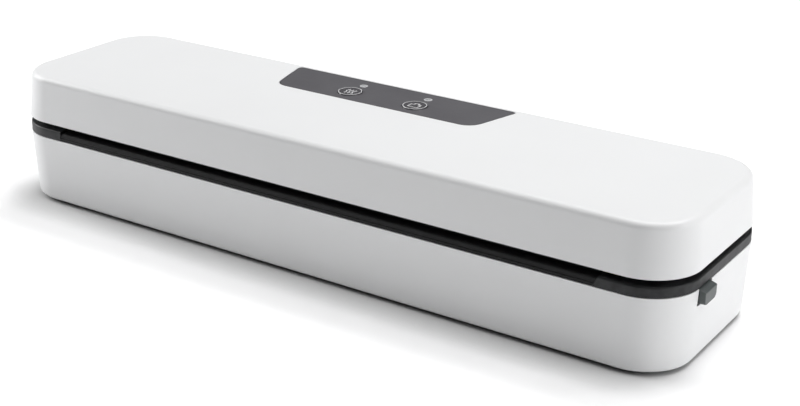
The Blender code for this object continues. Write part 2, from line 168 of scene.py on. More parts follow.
def mix_colour(tree, factor, a, b):
    node = tree.nodes.new("ShaderNodeMix")
    node.data_type = "RGBA"
    link(tree, factor, node.inputs[0])
    for socket, value in ((node.inputs[6], a), (node.inputs[7], b)):
        if isinstance(value, tuple):
            socket.default_value = (*value, 1.0)
        else:
            link(tree, value, socket)
    return node.outputs[2]


def add_bump(tree, shader, height, strength, distance, before=None):
    node = tree.nodes.new("ShaderNodeBump")
    node.inputs["Strength"].default_value = strength
    node.inputs["Distance"].default_value = distance
    link(tree, height, node.inputs["Height"])
    if before is not None:
        link(tree, before, node.inputs["Normal"])
    link(tree, node.outputs["Normal"], shader.inputs["Normal"])
    return node.outputs["Normal"]


def edge_wear(tree, where):
    """Where outward edges are, broken up by noise."""
    geometry = tree.nodes.new("ShaderNodeNewGeometry")
    edge = ramp(tree, geometry.outputs["Pointiness"], *WEAR_RANGE)
    patches = ramp(tree, noise_node(tree, where, 180.0, 4.0), 0.35, 0.7)
    node = tree.nodes.new("ShaderNodeMath")
    node.operation = "MULTIPLY"
    link(tree, edge, node.inputs[0])
    link(tree, patches, node.inputs[1])
    return node.outputs[0]


def moulded(name, colour, rough, shade=0.04, grain=0.25, worn=None, coat=0.0, gloss=0.5, spread=0.06):
    """Moulded plastic: fine spark-eroded grain, faint mottling and lightly worn edges."""
    mat, tree, shader = new_material(name)
    where = coords(tree)
    broad = noise_node(tree, where, 22.0, 3.0)
    fine = noise_node(tree, where, 1400.0, 2.0, 0.6)
    dark = tuple(c * (1 - shade) for c in colour)
    light = tuple(min(1.0, c * (1 + shade)) for c in colour)
    tone = mix_colour(tree, ramp(tree, broad, 0.3, 0.7), dark, light)
    wear = edge_wear(tree, where)
    worn = worn or tuple(min(1.0, c * 1.15 + 0.02) for c in colour)
    tone = mix_colour(tree, wear, tone, worn)
    link(tree, tone, shader.inputs["Base Color"])
    streak = noise_node(tree, where, 60.0, 5.0, 0.65)
    link(tree, ramp(tree, streak, 0.25, 0.75, rough - spread, rough + spread), shader.inputs["Roughness"])
    shader.inputs["Specular IOR Level"].default_value = gloss
    shader.inputs["Coat Weight"].default_value = coat
    first = add_bump(tree, shader, fine, grain, 0.00006)
    add_bump(tree, shader, broad, 0.05 * spread / 0.06, 0.0004, first)
    return mat


def metal(name, colour, rough, along=(1, 1, 60), grain=0.3):
    """Metal with fine brushed lines, small dents and a slight tarnish."""
    mat, tree, shader = new_material(name)
    where = coords(tree)
    lines = noise_node(tree, coords(tree, along), 260.0, 4.0, 0.6)
    broad = noise_node(tree, where, 90.0, 4.0)
    tone = mix_colour(tree, ramp(tree, broad, 0.3, 0.7), tuple(c * 0.8 for c in colour), colour)
    link(tree, tone, shader.inputs["Base Color"])
    shader.inputs["Metallic"].default_value = 1.0
    link(tree, ramp(tree, lines, 0.3, 0.7, rough - 0.08, rough + 0.12), shader.inputs["Roughness"])
    add_bump(tree, shader, lines, grain, 0.00004)
    return mat


def rubber(name, colour, rough=0.7, pores=False):
    """Rubber or fine-celled foam, dull, with pores or a faint bloom."""
    mat, tree, shader = new_material(name)
    where = coords(tree)
    bloom = noise_node(tree, where, 45.0, 4.0)
    pale = tuple(c * 1.5 + 0.012 for c in colour)
    tone = mix_colour(tree, ramp(tree, bloom, 0.4, 0.8, 0.0, 0.6), colour, pale)
    if pores:
        cells = tree.nodes.new("ShaderNodeTexVoronoi")
        cells.inputs["Scale"].default_value = 1500.0
        link(tree, where, cells.inputs["Vector"])
        pit = ramp(tree, cells.outputs["Distance"], 0.05, 0.45)
        # The pores are darkened in colour: painted shade in the foam's cells.
        tone = mix_colour(tree, pit, tuple(c * 0.35 for c in colour), tone)
        add_bump(tree, shader, pit, 0.8, 0.0002)
    else:
        add_bump(tree, shader, noise_node(tree, where, 900.0, 3.0), 0.35, 0.00008)
    link(tree, tone, shader.inputs["Base Color"])
    link(tree, ramp(tree, bloom, 0.3, 0.7, rough - 0.06, rough + 0.1), shader.inputs["Roughness"])
    return mat


def cloth_tape(name, colour):
    """Coated glass cloth: a fine square weave under a slick brown skin."""
    mat, tree, shader = new_material(name)
    where = coords(tree)
    waves = []
    for axis in ("X", "Y"):
        wave = tree.nodes.new("ShaderNodeTexWave")
        wave.bands_direction = axis
        wave.inputs["Scale"].default_value = 420.0
        wave.inputs["Distortion"].default_value = 0.6
        link(tree, where, wave.inputs["Vector"])
        waves.append(wave.outputs["Fac"])
    node = tree.nodes.new("ShaderNodeMath")
    node.operation = "MULTIPLY"
    link(tree, waves[0], node.inputs[0])
    link(tree, waves[1], node.inputs[1])
    weave = node.outputs[0]
    tone = mix_colour(tree, ramp(tree, weave, 0.1, 0.8), tuple(c * 0.72 for c in colour), colour)
    stain = ramp(tree, noise_node(tree, where, 35.0, 5.0), 0.45, 0.75, 0.0, 0.5)
    tone = mix_colour(tree, stain, tone, tuple(c * 0.55 for c in colour))
    link(tree, tone, shader.inputs["Base Color"])
    shader.inputs["Roughness"].default_value = 0.38
    shader.inputs["Coat Weight"].default_value = 0.25
    add_bump(tree, shader, weave, 0.5, 0.00008)
    return mat


def laminate(name, colour):
    """Circuit board: solder mask over copper tracks and pads."""
    mat, tree, shader = new_material(name)
    where = coords(tree)
    brick = tree.nodes.new("ShaderNodeTexBrick")
    brick.inputs["Scale"].default_value = 90.0
    brick.inputs["Mortar Size"].default_value = 0.03
    brick.inputs["Bias"].default_value = 0.0
    brick.offset = 0.37
    link(tree, where, brick.inputs["Vector"])
    tracks = ramp(tree, brick.outputs["Fac"], 0.2, 0.8)
    tone = mix_colour(tree, tracks, colour, tuple(c * 1.8 + 0.02 for c in colour))
    cells = tree.nodes.new("ShaderNodeTexVoronoi")
    cells.inputs["Scale"].default_value = 210.0
    link(tree, where, cells.inputs["Vector"])
    pads = ramp(tree, cells.outputs["Distance"], 0.16, 0.12)
    tone = mix_colour(tree, pads, tone, (0.62, 0.6, 0.55))
    link(tree, tone, shader.inputs["Base Color"])
    link(tree, ramp(tree, pads, 0.0, 1.0, 0.42, 0.25), shader.inputs["Roughness"])
    add_bump(tree, shader, tracks, 0.3, 0.00005)
    return mat


def milky(name, colour):
    """Translucent lens or soft hose."""
    mat, tree, shader = new_material(name)
    where = coords(tree)
    cloud = noise_node(tree, where, 160.0, 4.0)
    tone = mix_colour(tree, ramp(tree, cloud, 0.3, 0.7), tuple(c * 0.9 for c in colour), colour)
    link(tree, tone, shader.inputs["Base Color"])
    link(tree, ramp(tree, cloud, 0.3, 0.7, 0.22, 0.38), shader.inputs["Roughness"])
    shader.inputs["Subsurface Weight"].default_value = 0.3
    shader.inputs["Subsurface Radius"].default_value = (0.002, 0.002, 0.002)
    add_bump(tree, shader, cloud, 0.1, 0.0001)
    return mat


WHITE = moulded("white_moulding", (0.80, 0.805, 0.81), 0.42, shade=0.006, grain=0.22,
                worn=(0.81, 0.815, 0.82), spread=0.012)
CHARCOAL = moulded("charcoal_moulding", (0.020, 0.021, 0.023), 0.40, shade=0.08, grain=0.3,
                   worn=(0.035, 0.036, 0.038), gloss=0.4)
# Deck: a darker copy of the charcoal, as painted shade for the gap seen between lid and base.
DECK_PAINTED_SHADE = moulded("deck_moulding_painted_shade", (0.012, 0.0125, 0.0135), 0.46, shade=0.08, grain=0.35,
               worn=(0.03, 0.031, 0.033), gloss=0.3)
# Lip: a near-black copy of the charcoal, as painted shade for the lid's shadow on the bag lip.
LIP_PAINTED_SHADE = moulded("lip_moulding_painted_shade", (0.0045, 0.0046, 0.005), 0.5, shade=0.08, grain=0.3,
              worn=(0.012, 0.012, 0.013), gloss=0.2)
GREY = moulded("grey_moulding", (0.085, 0.09, 0.095), 0.45, shade=0.06, grain=0.35)
BUTTON_GREY = moulded("button_moulding", (0.062, 0.073, 0.073), 0.40, shade=0.06, grain=0.3)
PANEL = moulded("panel_film", (0.097, 0.095, 0.103), 0.46, shade=0.03, grain=0.12,
                worn=(0.098, 0.096, 0.104))
PANEL_EDGE = moulded("panel_edge", (0.055, 0.054, 0.06), 0.45, shade=0.03, grain=0.1)
KEY = moulded("key_film", (0.099, 0.097, 0.104), 0.22, shade=0.03, grain=0.06, coat=0.4)
PRINT = moulded("pale_print", (0.62, 0.62, 0.63), 0.4, shade=0.03, grain=0.1)
LINER = moulded("liner_moulding", (0.05, 0.051, 0.054), 0.45, shade=0.06, grain=0.4)
FOAM = rubber("foam", (0.035, 0.035, 0.037), 0.85, pores=True)
SILICONE = rubber("silicone", (0.030, 0.030, 0.032), 0.5)
RUBBER = rubber("black_rubber", (0.016, 0.016, 0.017), 0.75)
STEEL = metal("steel", (0.62, 0.62, 0.64), 0.3)
ZINC = metal("zinc_plate", (0.5, 0.5, 0.5), 0.42, along=(1, 1, 1))
BRASS = metal("brass", (0.68, 0.5, 0.22), 0.32, along=(1, 1, 1))
COPPER = metal("copper_wire", (0.62, 0.27, 0.13), 0.35, along=(60, 1, 1))
TAPE = cloth_tape("coated_cloth", (0.33, 0.17, 0.07))
BOARD = laminate("board_laminate", (0.012, 0.10, 0.045))
LENS = milky("milky_lens", (0.42, 0.43, 0.44))
HOSE = milky("hose_silicone", (0.62, 0.63, 0.6))


# ---------------------------------------------------------------- shapes

def finish_mesh(bm, name, mat, place=(0, 0, 0), smooth=SMOOTH_ANGLE):
    """Turn a bmesh in millimetres into a linked object in metres."""
    bmesh.ops.scale(bm, vec=(MM, MM, MM), verts=bm.verts)
    bmesh.ops.recalc_face_normals(bm, faces=bm.faces)
    mesh = bpy.data.meshes.new(name)
    bm.to_mesh(mesh)
    bm.free()
    if mat is not None:
        mesh.materials.append(mat)
    thing = bpy.data.objects.new(name, mesh)
    bpy.context.scene.collection.objects.link(thing)
    thing.location = Vector(place) * MM
    if smooth:
        mesh.shade_smooth()
        mesh.set_sharp_from_angle(angle=math.radians(smooth))
    return thing


def is_rim(edge, level):
    return all(abs(v.co.z - level) < 1e-4 for v in edge.verts)


def block(name, x, y, z0, z1, sx, sy, mat=None, corner=0.0, steps=12, draft=(0.0, 0.0),
          top=0.0, bottom=0.0, turns=4):
    """A box with rounded vertical corners, inset outlines and softened rims."""
    bm = bmesh.new()
    bmesh.ops.create_cube(bm, size=1.0)
    bmesh.ops.scale(bm, vec=(sx, sy, z1 - z0), verts=bm.verts)
    high = (z1 - z0) / 2
    if corner > 0:
        upright = [e for e in bm.edges if abs(e.verts[0].co.z - e.verts[1].co.z) > 1e-6]
        bmesh.ops.bevel(bm, geom=upright, offset=corner, segments=steps, profile=0.5,
                        affect="EDGES", clamp_overlap=False)
    for vert in bm.verts:
        inset = draft[0] if vert.co.z < 0 else draft[1]
        vert.co.x *= 1 - 2 * inset / sx
        vert.co.y *= 1 - 2 * inset / sy
    for level, size in ((high, top), (-high, bottom)):
        if size > 0:
            rim = [e for e in bm.edges if is_rim(e, level)]
            bmesh.ops.bevel(bm, geom=rim, offset=size, segments=turns, profile=0.5,
                            affect="EDGES", clamp_overlap=False)
    return finish_mesh(bm, name, mat, (x, y, (z0 + z1) / 2))


def rod(name, start, length, radius, mat=None, axis="Z", sides=40, tip=None, edge=0.0):
    """A round bar or cone from a start point along an axis, with softened rims."""
    bm = bmesh.new()
    bmesh.ops.create_cone(bm, cap_ends=True, segments=sides, radius1=radius,
                          radius2=radius if tip is None else tip, depth=length)
    if edge > 0:
        rims = [e for e in bm.edges if is_rim(e, length / 2) or is_rim(e, -length / 2)]
        bmesh.ops.bevel(bm, geom=rims, offset=edge, segments=3, profile=0.5,
                        affect="EDGES", clamp_overlap=False)
    bmesh.ops.translate(bm, vec=(0, 0, length / 2), verts=bm.verts)
    bmesh.ops.rotate(bm, matrix=TURNED[axis], verts=bm.verts)
    return finish_mesh(bm, name, mat, start)


def spun(name, profile, mat, centre, axis="Z", sides=48, smooth=SMOOTH_ANGLE):
    """A turned shape from (radius, height) points."""
    bm = bmesh.new()
    rings = []
    for radius, height in profile:
        if radius < 1e-6:
            rings.append([bm.verts.new((0, 0, height))])
            continue
        ring = []
        for k in range(sides):
            a = 2 * math.pi * k / sides
            ring.append(bm.verts.new((radius * math.cos(a), radius * math.sin(a), height)))
        rings.append(ring)
    for a, b in zip(rings, rings[1:]):
        for k in range(sides):
            n = (k + 1) % sides
            if len(a) == 1:
                bm.faces.new((a[0], b[k], b[n]))
            elif len(b) == 1:
                bm.faces.new((a[k], b[0], a[n]))
            else:
                bm.faces.new((a[k], b[k], b[n], a[n]))
    for ring in (rings[0], rings[-1]):
        if len(ring) > 1:
            bm.faces.new(ring)
    bmesh.ops.rotate(bm, matrix=TURNED[axis], verts=bm.verts)
    return finish_mesh(bm, name, mat, centre, smooth)


def combine(thing, others, kind):
    """Apply solid operations to a piece and drop the tools."""
    for other in others:
        mod = thing.modifiers.new("solid", "BOOLEAN")
        mod.operation = kind
        mod.solver = "EXACT"
        mod.object = other
    bpy.context.view_layer.update()
    graph = bpy.context.evaluated_depsgraph_get()
    mesh = bpy.data.meshes.new_from_object(thing.evaluated_get(graph))
    thing.modifiers.clear()
    old = thing.data
    thing.data = mesh
    mesh.name = old.name
    for other in others:
        bpy.data.objects.remove(other)
    return thing


def cut(thing, *others):
    return combine(thing, others, "DIFFERENCE")


def fuse(thing, *others):
    return combine(thing, others, "UNION")


def soften(thing, width, segments=2):
    """Round the remaining hard edges and weight the shading by face size."""
    if width > 0:
        mod = thing.modifiers.new("edges", "BEVEL")
        mod.width = width * MM
        mod.segments = segments
        mod.limit_method = "ANGLE"
        mod.angle_limit = math.radians(ROUND_ANGLE)
        mod.harden_normals = False
        mod.use_clamp_overlap = True
        mod.face_strength_mode = "FSTR_ALL"
    thing.data.shade_smooth()
    thing.data.set_sharp_from_angle(angle=math.radians(SHARP_ANGLE))
    weight = thing.modifiers.new("shading", "WEIGHTED_NORMAL")
    weight.keep_sharp = True
    weight.weight = 60
    weight.use_face_influence = width > 0
    return thing


def outline_plate(name, points, z0, z1, mat=None):
    """A flat plate with a given outline."""
    bm = bmesh.new()
    low = [bm.verts.new((p[0], p[1], z0)) for p in points]
    high = [bm.verts.new((p[0], p[1], z1)) for p in points]
    bm.faces.new(list(reversed(low)))
    bm.faces.new(high)
    count = len(points)
    for k in range(count):
        n = (k + 1) % count
        bm.faces.new((low[k], low[n], high[n], high[k]))
    return finish_mesh(bm, name, mat)


def prism(name, points, axis, low, high, mat=None):
    """An outline carried along X or Y: the points are (Y, Z) or (X, Z)."""
    bm = bmesh.new()
    order = {"X": lambda p, c: (c, p[0], p[1]), "Y": lambda p, c: (p[0], c, p[1])}[axis]
    ends = [[bm.verts.new(order(p, c)) for p in points] for c in (low, high)]
    bm.faces.new(ends[0])
    bm.faces.new(ends[1])
    count = len(points)
    for k in range(count):
        n = (k + 1) % count
        bm.faces.new((ends[0][k], ends[0][n], ends[1][n], ends[1][k]))
    return finish_mesh(bm, name, mat)


def loft(name, rings, mat, smooth=SMOOTH_ANGLE, closed=False):
    """A skin over rings of points, closed on itself or capped at both ends."""
    bm = bmesh.new()
    rows = [[bm.verts.new(point) for point in ring] for ring in rings]
    pairs = list(zip(rows, rows[1:]))
    if closed:
        pairs.append((rows[-1], rows[0]))
    else:
        bm.faces.new(rows[0])
        bm.faces.new(rows[-1])
    for a, b in pairs:
        for k in range(len(a)):
            n = (k + 1) % len(a)
            bm.faces.new((a[k], a[n], b[n], b[k]))
    return finish_mesh(bm, name, mat, smooth=smooth)


def oblong_path(x, y, size, corner, steps=10):
    """Points round a rounded rectangle, each with its outward direction."""
    path = []
    for side_x, side_y, start in ((1, 1, 0), (-1, 1, 90), (-1, -1, 180), (1, -1, 270)):
        centre = Vector((x + side_x * (size[0] / 2 - corner), y + side_y * (size[1] / 2 - corner)))
        for k in range(steps + 1):
            a = math.radians(start + 90 * k / steps)
            out = Vector((math.cos(a), math.sin(a)))
            path.append((centre + out * corner, out))
    return path


def swept_ring(name, path, section, mat, smooth=50.0):
    """A section of (outward, height) points carried round a closed path."""
    rings = [[(spot.x + out.x * o, spot.y + out.y * o, z) for o, z in section] for spot, out in path]
    return loft(name, rings, mat, smooth, closed=True)


def round_path(x, y, radius, steps=40):
    """Points round a circle, each with its outward direction."""
    outs = [Vector((math.cos(2 * math.pi * k / steps), math.sin(2 * math.pi * k / steps)))
            for k in range(steps)]
    return [(Vector((x, y)) + out * radius, out) for out in outs]


def rounded_outline(corners, radii, steps=12):
    points = []
    count = len(corners)
    for i, radius in enumerate(radii):
        here = Vector(corners[i])
        before = (Vector(corners[i - 1]) - here).normalized()
        after = (Vector(corners[(i + 1) % count]) - here).normalized()
        first = here + before * radius
        last = here + after * radius
        for k in range(steps + 1):
            t = k / steps
            points.append(first * (1 - t) ** 2 + here * 2 * t * (1 - t) + last * t ** 2)
    return points


def smooth_path(points, per=6):
    """Catmull-Rom points through a route."""
    out = []
    count = len(points)
    pts = [Vector(p) for p in points]
    for i in range(count - 1):
        p0 = pts[max(i - 1, 0)]
        p1 = pts[i]
        p2 = pts[i + 1]
        p3 = pts[min(i + 2, count - 1)]
        for k in range(per):
            t = k / per
            out.append(0.5 * ((2 * p1) + (p2 - p0) * t + (2 * p0 - 5 * p1 + 4 * p2 - p3) * t * t
                              + (3 * p1 - p0 - 3 * p2 + p3) * t ** 3))
    out.append(pts[-1])
    return out


def tube(name, points, radius, mat, sides=12):
    """A round bar swept along points, closed at both ends."""
    bm = bmesh.new()
    pts = [Vector(p) for p in points]
    rings = []
    up = Vector((0, 0, 1))
    tangent = (pts[1] - pts[0]).normalized()
    side = tangent.cross(up)
    if side.length < 1e-3:
        side = tangent.cross(Vector((0, 1, 0)))
    side.normalize()
    for i, here in enumerate(pts):
        ahead = pts[min(i + 1, len(pts) - 1)]
        behind = pts[max(i - 1, 0)]
        tangent = (ahead - behind).normalized()
        side = (side - tangent * side.dot(tangent)).normalized()
        other = tangent.cross(side)
        ring = []
        for k in range(sides):
            a = 2 * math.pi * k / sides
            ring.append(bm.verts.new(here + side * radius * math.cos(a) + other * radius * math.sin(a)))
        rings.append(ring)
    for a, b in zip(rings, rings[1:]):
        for k in range(sides):
            n = (k + 1) % sides
            bm.faces.new((a[k], a[n], b[n], b[k]))
    bm.faces.new(rings[0])
    bm.faces.new(rings[-1])
    return finish_mesh(bm, name, mat, smooth=50.0)


def place(piece, body, node):
    """A finished piece rides on a body and stands for its CAD node."""
    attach(piece, body)
    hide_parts(node)


def part_of(piece, body="base"):
    """A further visual piece that belongs to a CAD node."""
    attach(piece, body)


def bake(thing):
    """Make a piece's softened edges part of its mesh."""
    return combine(thing, [], "UNION")


def cross_recess(x, y, z0, z1, span, wide):
    """Tools for two crossed slots."""
    return block("t", x, y, z0, z1, span, wide), block("t", x, y, z0, z1, wide, span)


def pin_bores():
    """Tools for the two hinge bores."""
    return [rod("t", (side * HINGE_X - 20, HINGE_Y, HINGE_Z), 40, BORE, axis="X", sides=24)
            for side, _ in SIDES]


# ---------------------------------------------------------------- outer mouldings

def lid_shell():
    """White lid: satin top with a soft shoulder, hollow beneath, notched for the hinges."""
    shell = block("lid_outer", 0, 0, LID_BOTTOM, LID_TOP, LENGTH, DEPTH, WHITE, corner=CORNER,
                  steps=32, draft=(0.0, 1.8), top=3.4, turns=10)
    cut(shell,
        block("t", 0, 0, LID_BOTTOM - 4, LID_CEILING, LENGTH - 2 * WALL, DEPTH - 2 * WALL,
              corner=CORNER - WALL, steps=24, draft=(0.0, 1.8), top=1.0, turns=2),
        outline_plate("t", panel_outline(0.15), 70.9, 80),
        *[block("t", side * HINGE_X, 51.5, 44, 49.8, 37, 8) for side, _ in SIDES],
        block("t", SUPPLY_X, 51.5, 44, 48.6, 14, 8),
        *[rod("t", (x, KEY_Y, 60), 20, 5.5) for x in KEY_X],
        *[rod("t", (x, LIGHT_Y, 60), 20, 2.6, sides=24) for x in KEY_X])
    columns = [rod("t", (x, y, 51.2), 20, 3.6, sides=32) for x, y in SCREW_SPOTS]
    columns += [rod("t", (x, BOARD_SCREW_Y, 61.4), 10, 3.0, sides=24) for x in BOARD_SCREWS]
    fuse(shell, *columns)
    soften(shell, 0.35, 3)
    place(shell, "lid", "lid_shell")


def base_shell():
    """White base: straight sides with a slight taper to a rounded lower edge."""
    shell = block("base_outer", 0, 0, SHELL_BOTTOM, SHELL_TOP, LENGTH, DEPTH, WHITE,
                  corner=CORNER, steps=32, draft=(1.2, 0.0), bottom=3.0, turns=8)
    cut(shell,
        block("t", 0, 0, 4.6, 45, LENGTH - 6.4, DEPTH - 6.4, corner=CORNER - 3.2, steps=24),
        block("t", 0, 0, -2, 4.7, LENGTH - 5.2, DEPTH - 5.2, corner=CORNER - 2.7, steps=24),
        block("t", INLET_X, 52, 13.4, 26.6, 20.6, 12, corner=0.0),
        *[block("t", side * 199, BUTTON_Y, 30.4, 45, 12, 14.0) for side, _ in SIDES])
    soften(shell, 0.35, 3)
    place(shell, "base", "base_shell")


def panel_outline(grow):
    """Trapezoid outline of the control panel, wider at the hinge side."""
    back_half = 69.6 + grow * 1.3
    front_half = 61.4 + grow
    y0 = 14.0 - grow
    y1 = 46.6 + grow
    corners = [(PANEL_X - front_half, y0), (PANEL_X + front_half, y0),
               (PANEL_X + back_half, y1), (PANEL_X - back_half, y1)]
    return rounded_outline(corners, (8.0, 8.0, 3.5, 3.5))


def base_deck():
    """Charcoal deck: the rim seen between base and lid, the sunk deck and its openings."""
    # Its material is darkened as painted shade for the gap under the lid.
    deck = block("deck_body", 0, 0, RIM_BOTTOM, RIM_TOP, LENGTH - 0.4, DEPTH - 0.4, DECK_PAINTED_SHADE,
                 corner=CORNER - 0.2, steps=32, top=0.9, turns=3)
    fuse(deck, block("t", 0, 0, 36.5, 39.8, LENGTH - 7.2, DEPTH - 7.2, corner=CORNER - 3.6, steps=24))
    cut(deck,
        block("t", 0, 0, DECK_TOP, 60, LENGTH - 11.4, DEPTH - 11.4, corner=CORNER - 5.7, steps=24),
        block("t", 0, 0, 20, DECK_UNDER, LENGTH - 12, DEPTH - 12, corner=CORNER - 6, steps=24))
    extras = [rod("t", (x, y, 4.6), 37, 4.0, sides=32) for x, y in SCREW_SPOTS]
    for side, _ in SIDES:
        extras += [
            block("t", side * HOOK_X, BUTTON_Y, 22.5, 41.5, 2, 16),
            block("t", side * HOOK_X, BUTTON_Y, 42.0, 43.9, 16.4, 10.0, corner=1.2, steps=4)]
        for low in (-18, 8):
            x = side * HINGE_X + low
            extras += [
                rod("t", (x, HINGE_Y, HINGE_Z), 10, BARREL, axis="X", sides=40),
                block("t", x + 5, 50.5, 43.4, HINGE_Z, 10, 4)]
    for x in (-90, -30, 30, 90):
        extras.append(block("t", x, 27, 42.5, 43.6, 1.2, 24))
    extras.append(block("t", 0, 27, 42.5, 43.6, 330, 1.2))
    fuse(deck, *extras)
    tools = [
        block("t", 0, CHAMBER_Y, 30, 60, TRAY_SIZE[0] + 2 * GAP, TRAY_SIZE[1] + 2 * GAP,
              corner=TRAY_CORNER + GAP),
        block("t", 0, BAR_Y, 30, 60, 319.6, 8.6),
        lip_end_shape("t", RIM_BOTTOM - 0.3, 60, -70, -47.0, 0.0),
        block("t", SUPPLY_X, 45.1, 30, 60, 12, 3.6, corner=1.0, steps=4)]
    for x, y in SCREW_SPOTS:
        tools.append(rod("t", (x, y, 0), 16, 1.5, sides=20))
    for side, _ in SIDES:
        tools += [
            block("t", side * HOOK_X, BUTTON_Y, 30.3, 60, 14, 7.6, corner=0.6, steps=3),
            block("t", side * 196, BUTTON_Y, 30, RIM_BOTTOM, 12, 15),
            rod("t", (side * CLAMP_X, BAR_Y, 30), 20, 2.1, sides=24)]
    cut(deck, *tools, *pin_bores())
    soften(deck, 0.2)
    place(deck, "base", "base_deck")


def lip_end_shape(name, z0, z1, y0, y1, clear, mat=None):
    """The bag lip's outline from the front: square at the left end, slanted at the right."""
    lean = 0.45
    left = -SLOT_HALF + clear
    right = SLOT_HALF - clear
    points = [(left, z0), (right - lean * (RIM_TOP - z0), z0), (right, RIM_TOP), (right, z1), (left, z1)]
    return prism(name, points, "Y", y0, y1, mat)


def bag_lip():
    """Front lip that the bag is drawn over: a sloping rounded top and a shallow front channel."""
    front = -DEPTH / 2 + 0.4
    back = -47.3
    section = [(back, 39.1), (front + 0.3, 39.1), (front, 39.4), (front, 40.6), (front + 0.2, 40.75),
               (front + 0.2, 41.05), (front, 41.2), (front, 42.7)]
    for k in range(1, 7):
        a = math.radians(15 * k)
        section.append((front + 0.7 * (1 - math.cos(a)), 42.7 + 0.7 * math.sin(a)))
    section += [(back - 0.6, 43.8), (back, 43.5)]
    # The lip's near-black material is painted shade from the lid overhang.
    lip = prism("lip_bar", section, "X", -SLOT_HALF - 1, SLOT_HALF + 1, LIP_PAINTED_SHADE)
    keep = lip_end_shape("t", 30, RIM_TOP + 1, -70, -40, GAP / 2)
    combine(lip, [keep], "INTERSECT")
    cut(lip, block("t", -SLOT_HALF + 0.7, -52, 42.3, 50, 1.4, 12))
    soften(lip, 0.15)
    place(lip, "base", "bag_lip")


def tray_block(name, z0, z1, grow, mat=None, steps=8, **rims):
    return block(name, 0, CHAMBER_Y, z0, z1, TRAY_SIZE[0] + 2 * grow, TRAY_SIZE[1] + 2 * grow, mat,
                 corner=TRAY_CORNER + grow, steps=steps, **rims)


def drip_tray():
    """Removable tray: a thin flange, a filleted well with two collars and low ribs."""
    tray = tray_block("tray_body", DECK_TOP + GAP, 44.3, TRAY_FLANGE, GREY)
    fuse(tray, tray_block("t", 33.5, 43.9, 0, bottom=1.2),
         *[rod("t", (x, CHAMBER_Y, 27), 7.5, 2.6, sides=32) for x in PORT_X])
    cut(tray, tray_block("t", 35.3, 60, -TRAY_WALL, bottom=1.1, turns=5))
    ribs = [rod("t", (x, CHAMBER_Y, 35.0), 1.0, 3.4, sides=32) for x in PORT_X]
    ribs += [block("t", 0, CHAMBER_Y + y, 35.0, 35.75, 276, 0.9) for y in (-7, 7)]
    ribs += [block("t", x, CHAMBER_Y, 35.0, 35.75, 0.9, 15) for x in (-120, -80, -40, 80, 120)]
    fuse(tray, *ribs)
    cut(tray, *[rod("t", (x, CHAMBER_Y, 20), 20, 1.4, sides=24) for x in PORT_X])
    soften(tray, 0.2)
    place(tray, "base", "drip_tray")


def gasket(name, z_seat, z_crown, body):
    """Foam ring with a flat seat and a rounded sealing face."""
    half = FOAM_WIDTH / 2
    spring = z_seat + 0.55 * (z_crown - z_seat)
    section = [(-half, z_seat), (half, z_seat)]
    for k in range(9):
        a = math.pi * k / 8
        section.append((half * math.cos(a), spring + (z_crown - spring) * math.sin(a)))
    path = oblong_path(0, CHAMBER_Y, FOAM_SIZE, FOAM_CORNER)
    ring = swept_ring(name.replace("gasket", "foam"), path, section, FOAM)
    place(ring, body, name)


def seal_bar():
    """Heat-proof bar with a broad foot, holding the heating strip under its tape."""
    half = 159.5
    section = [(-6, 37), (6, 37), (6, 39.9), (5.5, 40.4), (4, 40.4), (4, 43.4), (3.5, 43.9), (1.6, 43.9),
               (1.4, 43.7), (-1.4, 43.7), (-1.6, 43.9), (-3.5, 43.9), (-4, 43.4), (-4, 40.4),
               (-5.5, 40.4), (-6, 39.9)]
    bar = prism("bar_body", [(BAR_Y + y, z) for y, z in section], "X", -half, half, GREY)
    cut(bar, *[block("t", x, BAR_Y, 36, 38.2, 18, 6, corner=1.0, steps=3)
               for x in range(-140, 141, 40)])
    soften(bar, 0.12)
    place(bar, "base", "seal_bar")

    wide = 2.0
    neck = 1.2
    points = [(-158.5, -wide), (-153, -wide), (-151, -neck), (-148, -wide), (148, -wide), (151, -neck),
              (153, -wide), (158.5, -wide)]
    points += [(x, -y) for x, y in reversed(points)]
    strip = outline_plate("strip_ribbon", [(x, BAR_Y + y) for x, y in points], 44.2, 44.5, STEEL)
    soften(strip, 0.06, 1)
    place(strip, "base", "heating_strip")


def sealing_tape():
    """Coated tape over the heating strip: crowned across and faintly rippled along its edges."""
    rings = []
    stations = 120
    for i in range(stations + 1):
        x = -159 + 318 * i / stations
        ripple = 0.045 * noise.noise(Vector((x * 0.09, 0, 0)))
        upper = []
        lower = []
        for k in range(9):
            y = -4.5 + 9 * k / 8
            z = 45.05 - 0.09 * (abs(y) / 4.5) ** 3 + ripple * abs(y) / 4.5
            upper.append((x, BAR_Y + y, z))
            lower.append((x, BAR_Y + y, z - 0.12))
        rings.append(upper + lower[::-1])
    tape = loft("tape_strip", rings, TAPE)
    place(tape, "base", "sealing_tape")


def strip_clamps():
    """Brass clamps that hold and feed the heating strip, each with a slotted stud."""
    for side, word in SIDES:
        x = side * CLAMP_X
        clamp = block("clamp_" + word, x, BAR_Y, 43.3, 44.5, 8.4, 7.6, BRASS, corner=1.0, steps=4)
        fuse(clamp, rod("t", (x, BAR_Y, 44.0), 1.3, 2.6, sides=32, edge=0.4),
             rod("t", (x, BAR_Y, 36.5), 7.5, 1.5, sides=24))
        cut(clamp, block("t", x, BAR_Y, 44.9, 46, 6, 0.7))
        soften(clamp, 0.15)
        place(clamp, "base", "strip_clamp_" + word)


def pressure_strip():
    """Silicone strip in the lid, with a raised bead that presses the bag on the bar."""
    section = [(-4, 49.5), (4, 49.5), (4, 47.6), (3.4, 47.1)]
    for k in range(9):
        a = math.pi * k / 8
        section.append((2.4 * math.cos(a), 46.9 - 0.9 * math.sin(a)))
    section += [(-3.4, 47.1), (-4, 47.6)]
    strip = prism("pad_strip", [(BAR_Y + y, z) for y, z in section], "X", -160, 160, SILICONE)
    soften(strip, 0.1, 1)
    place(strip, "lid", "pressure_strip")


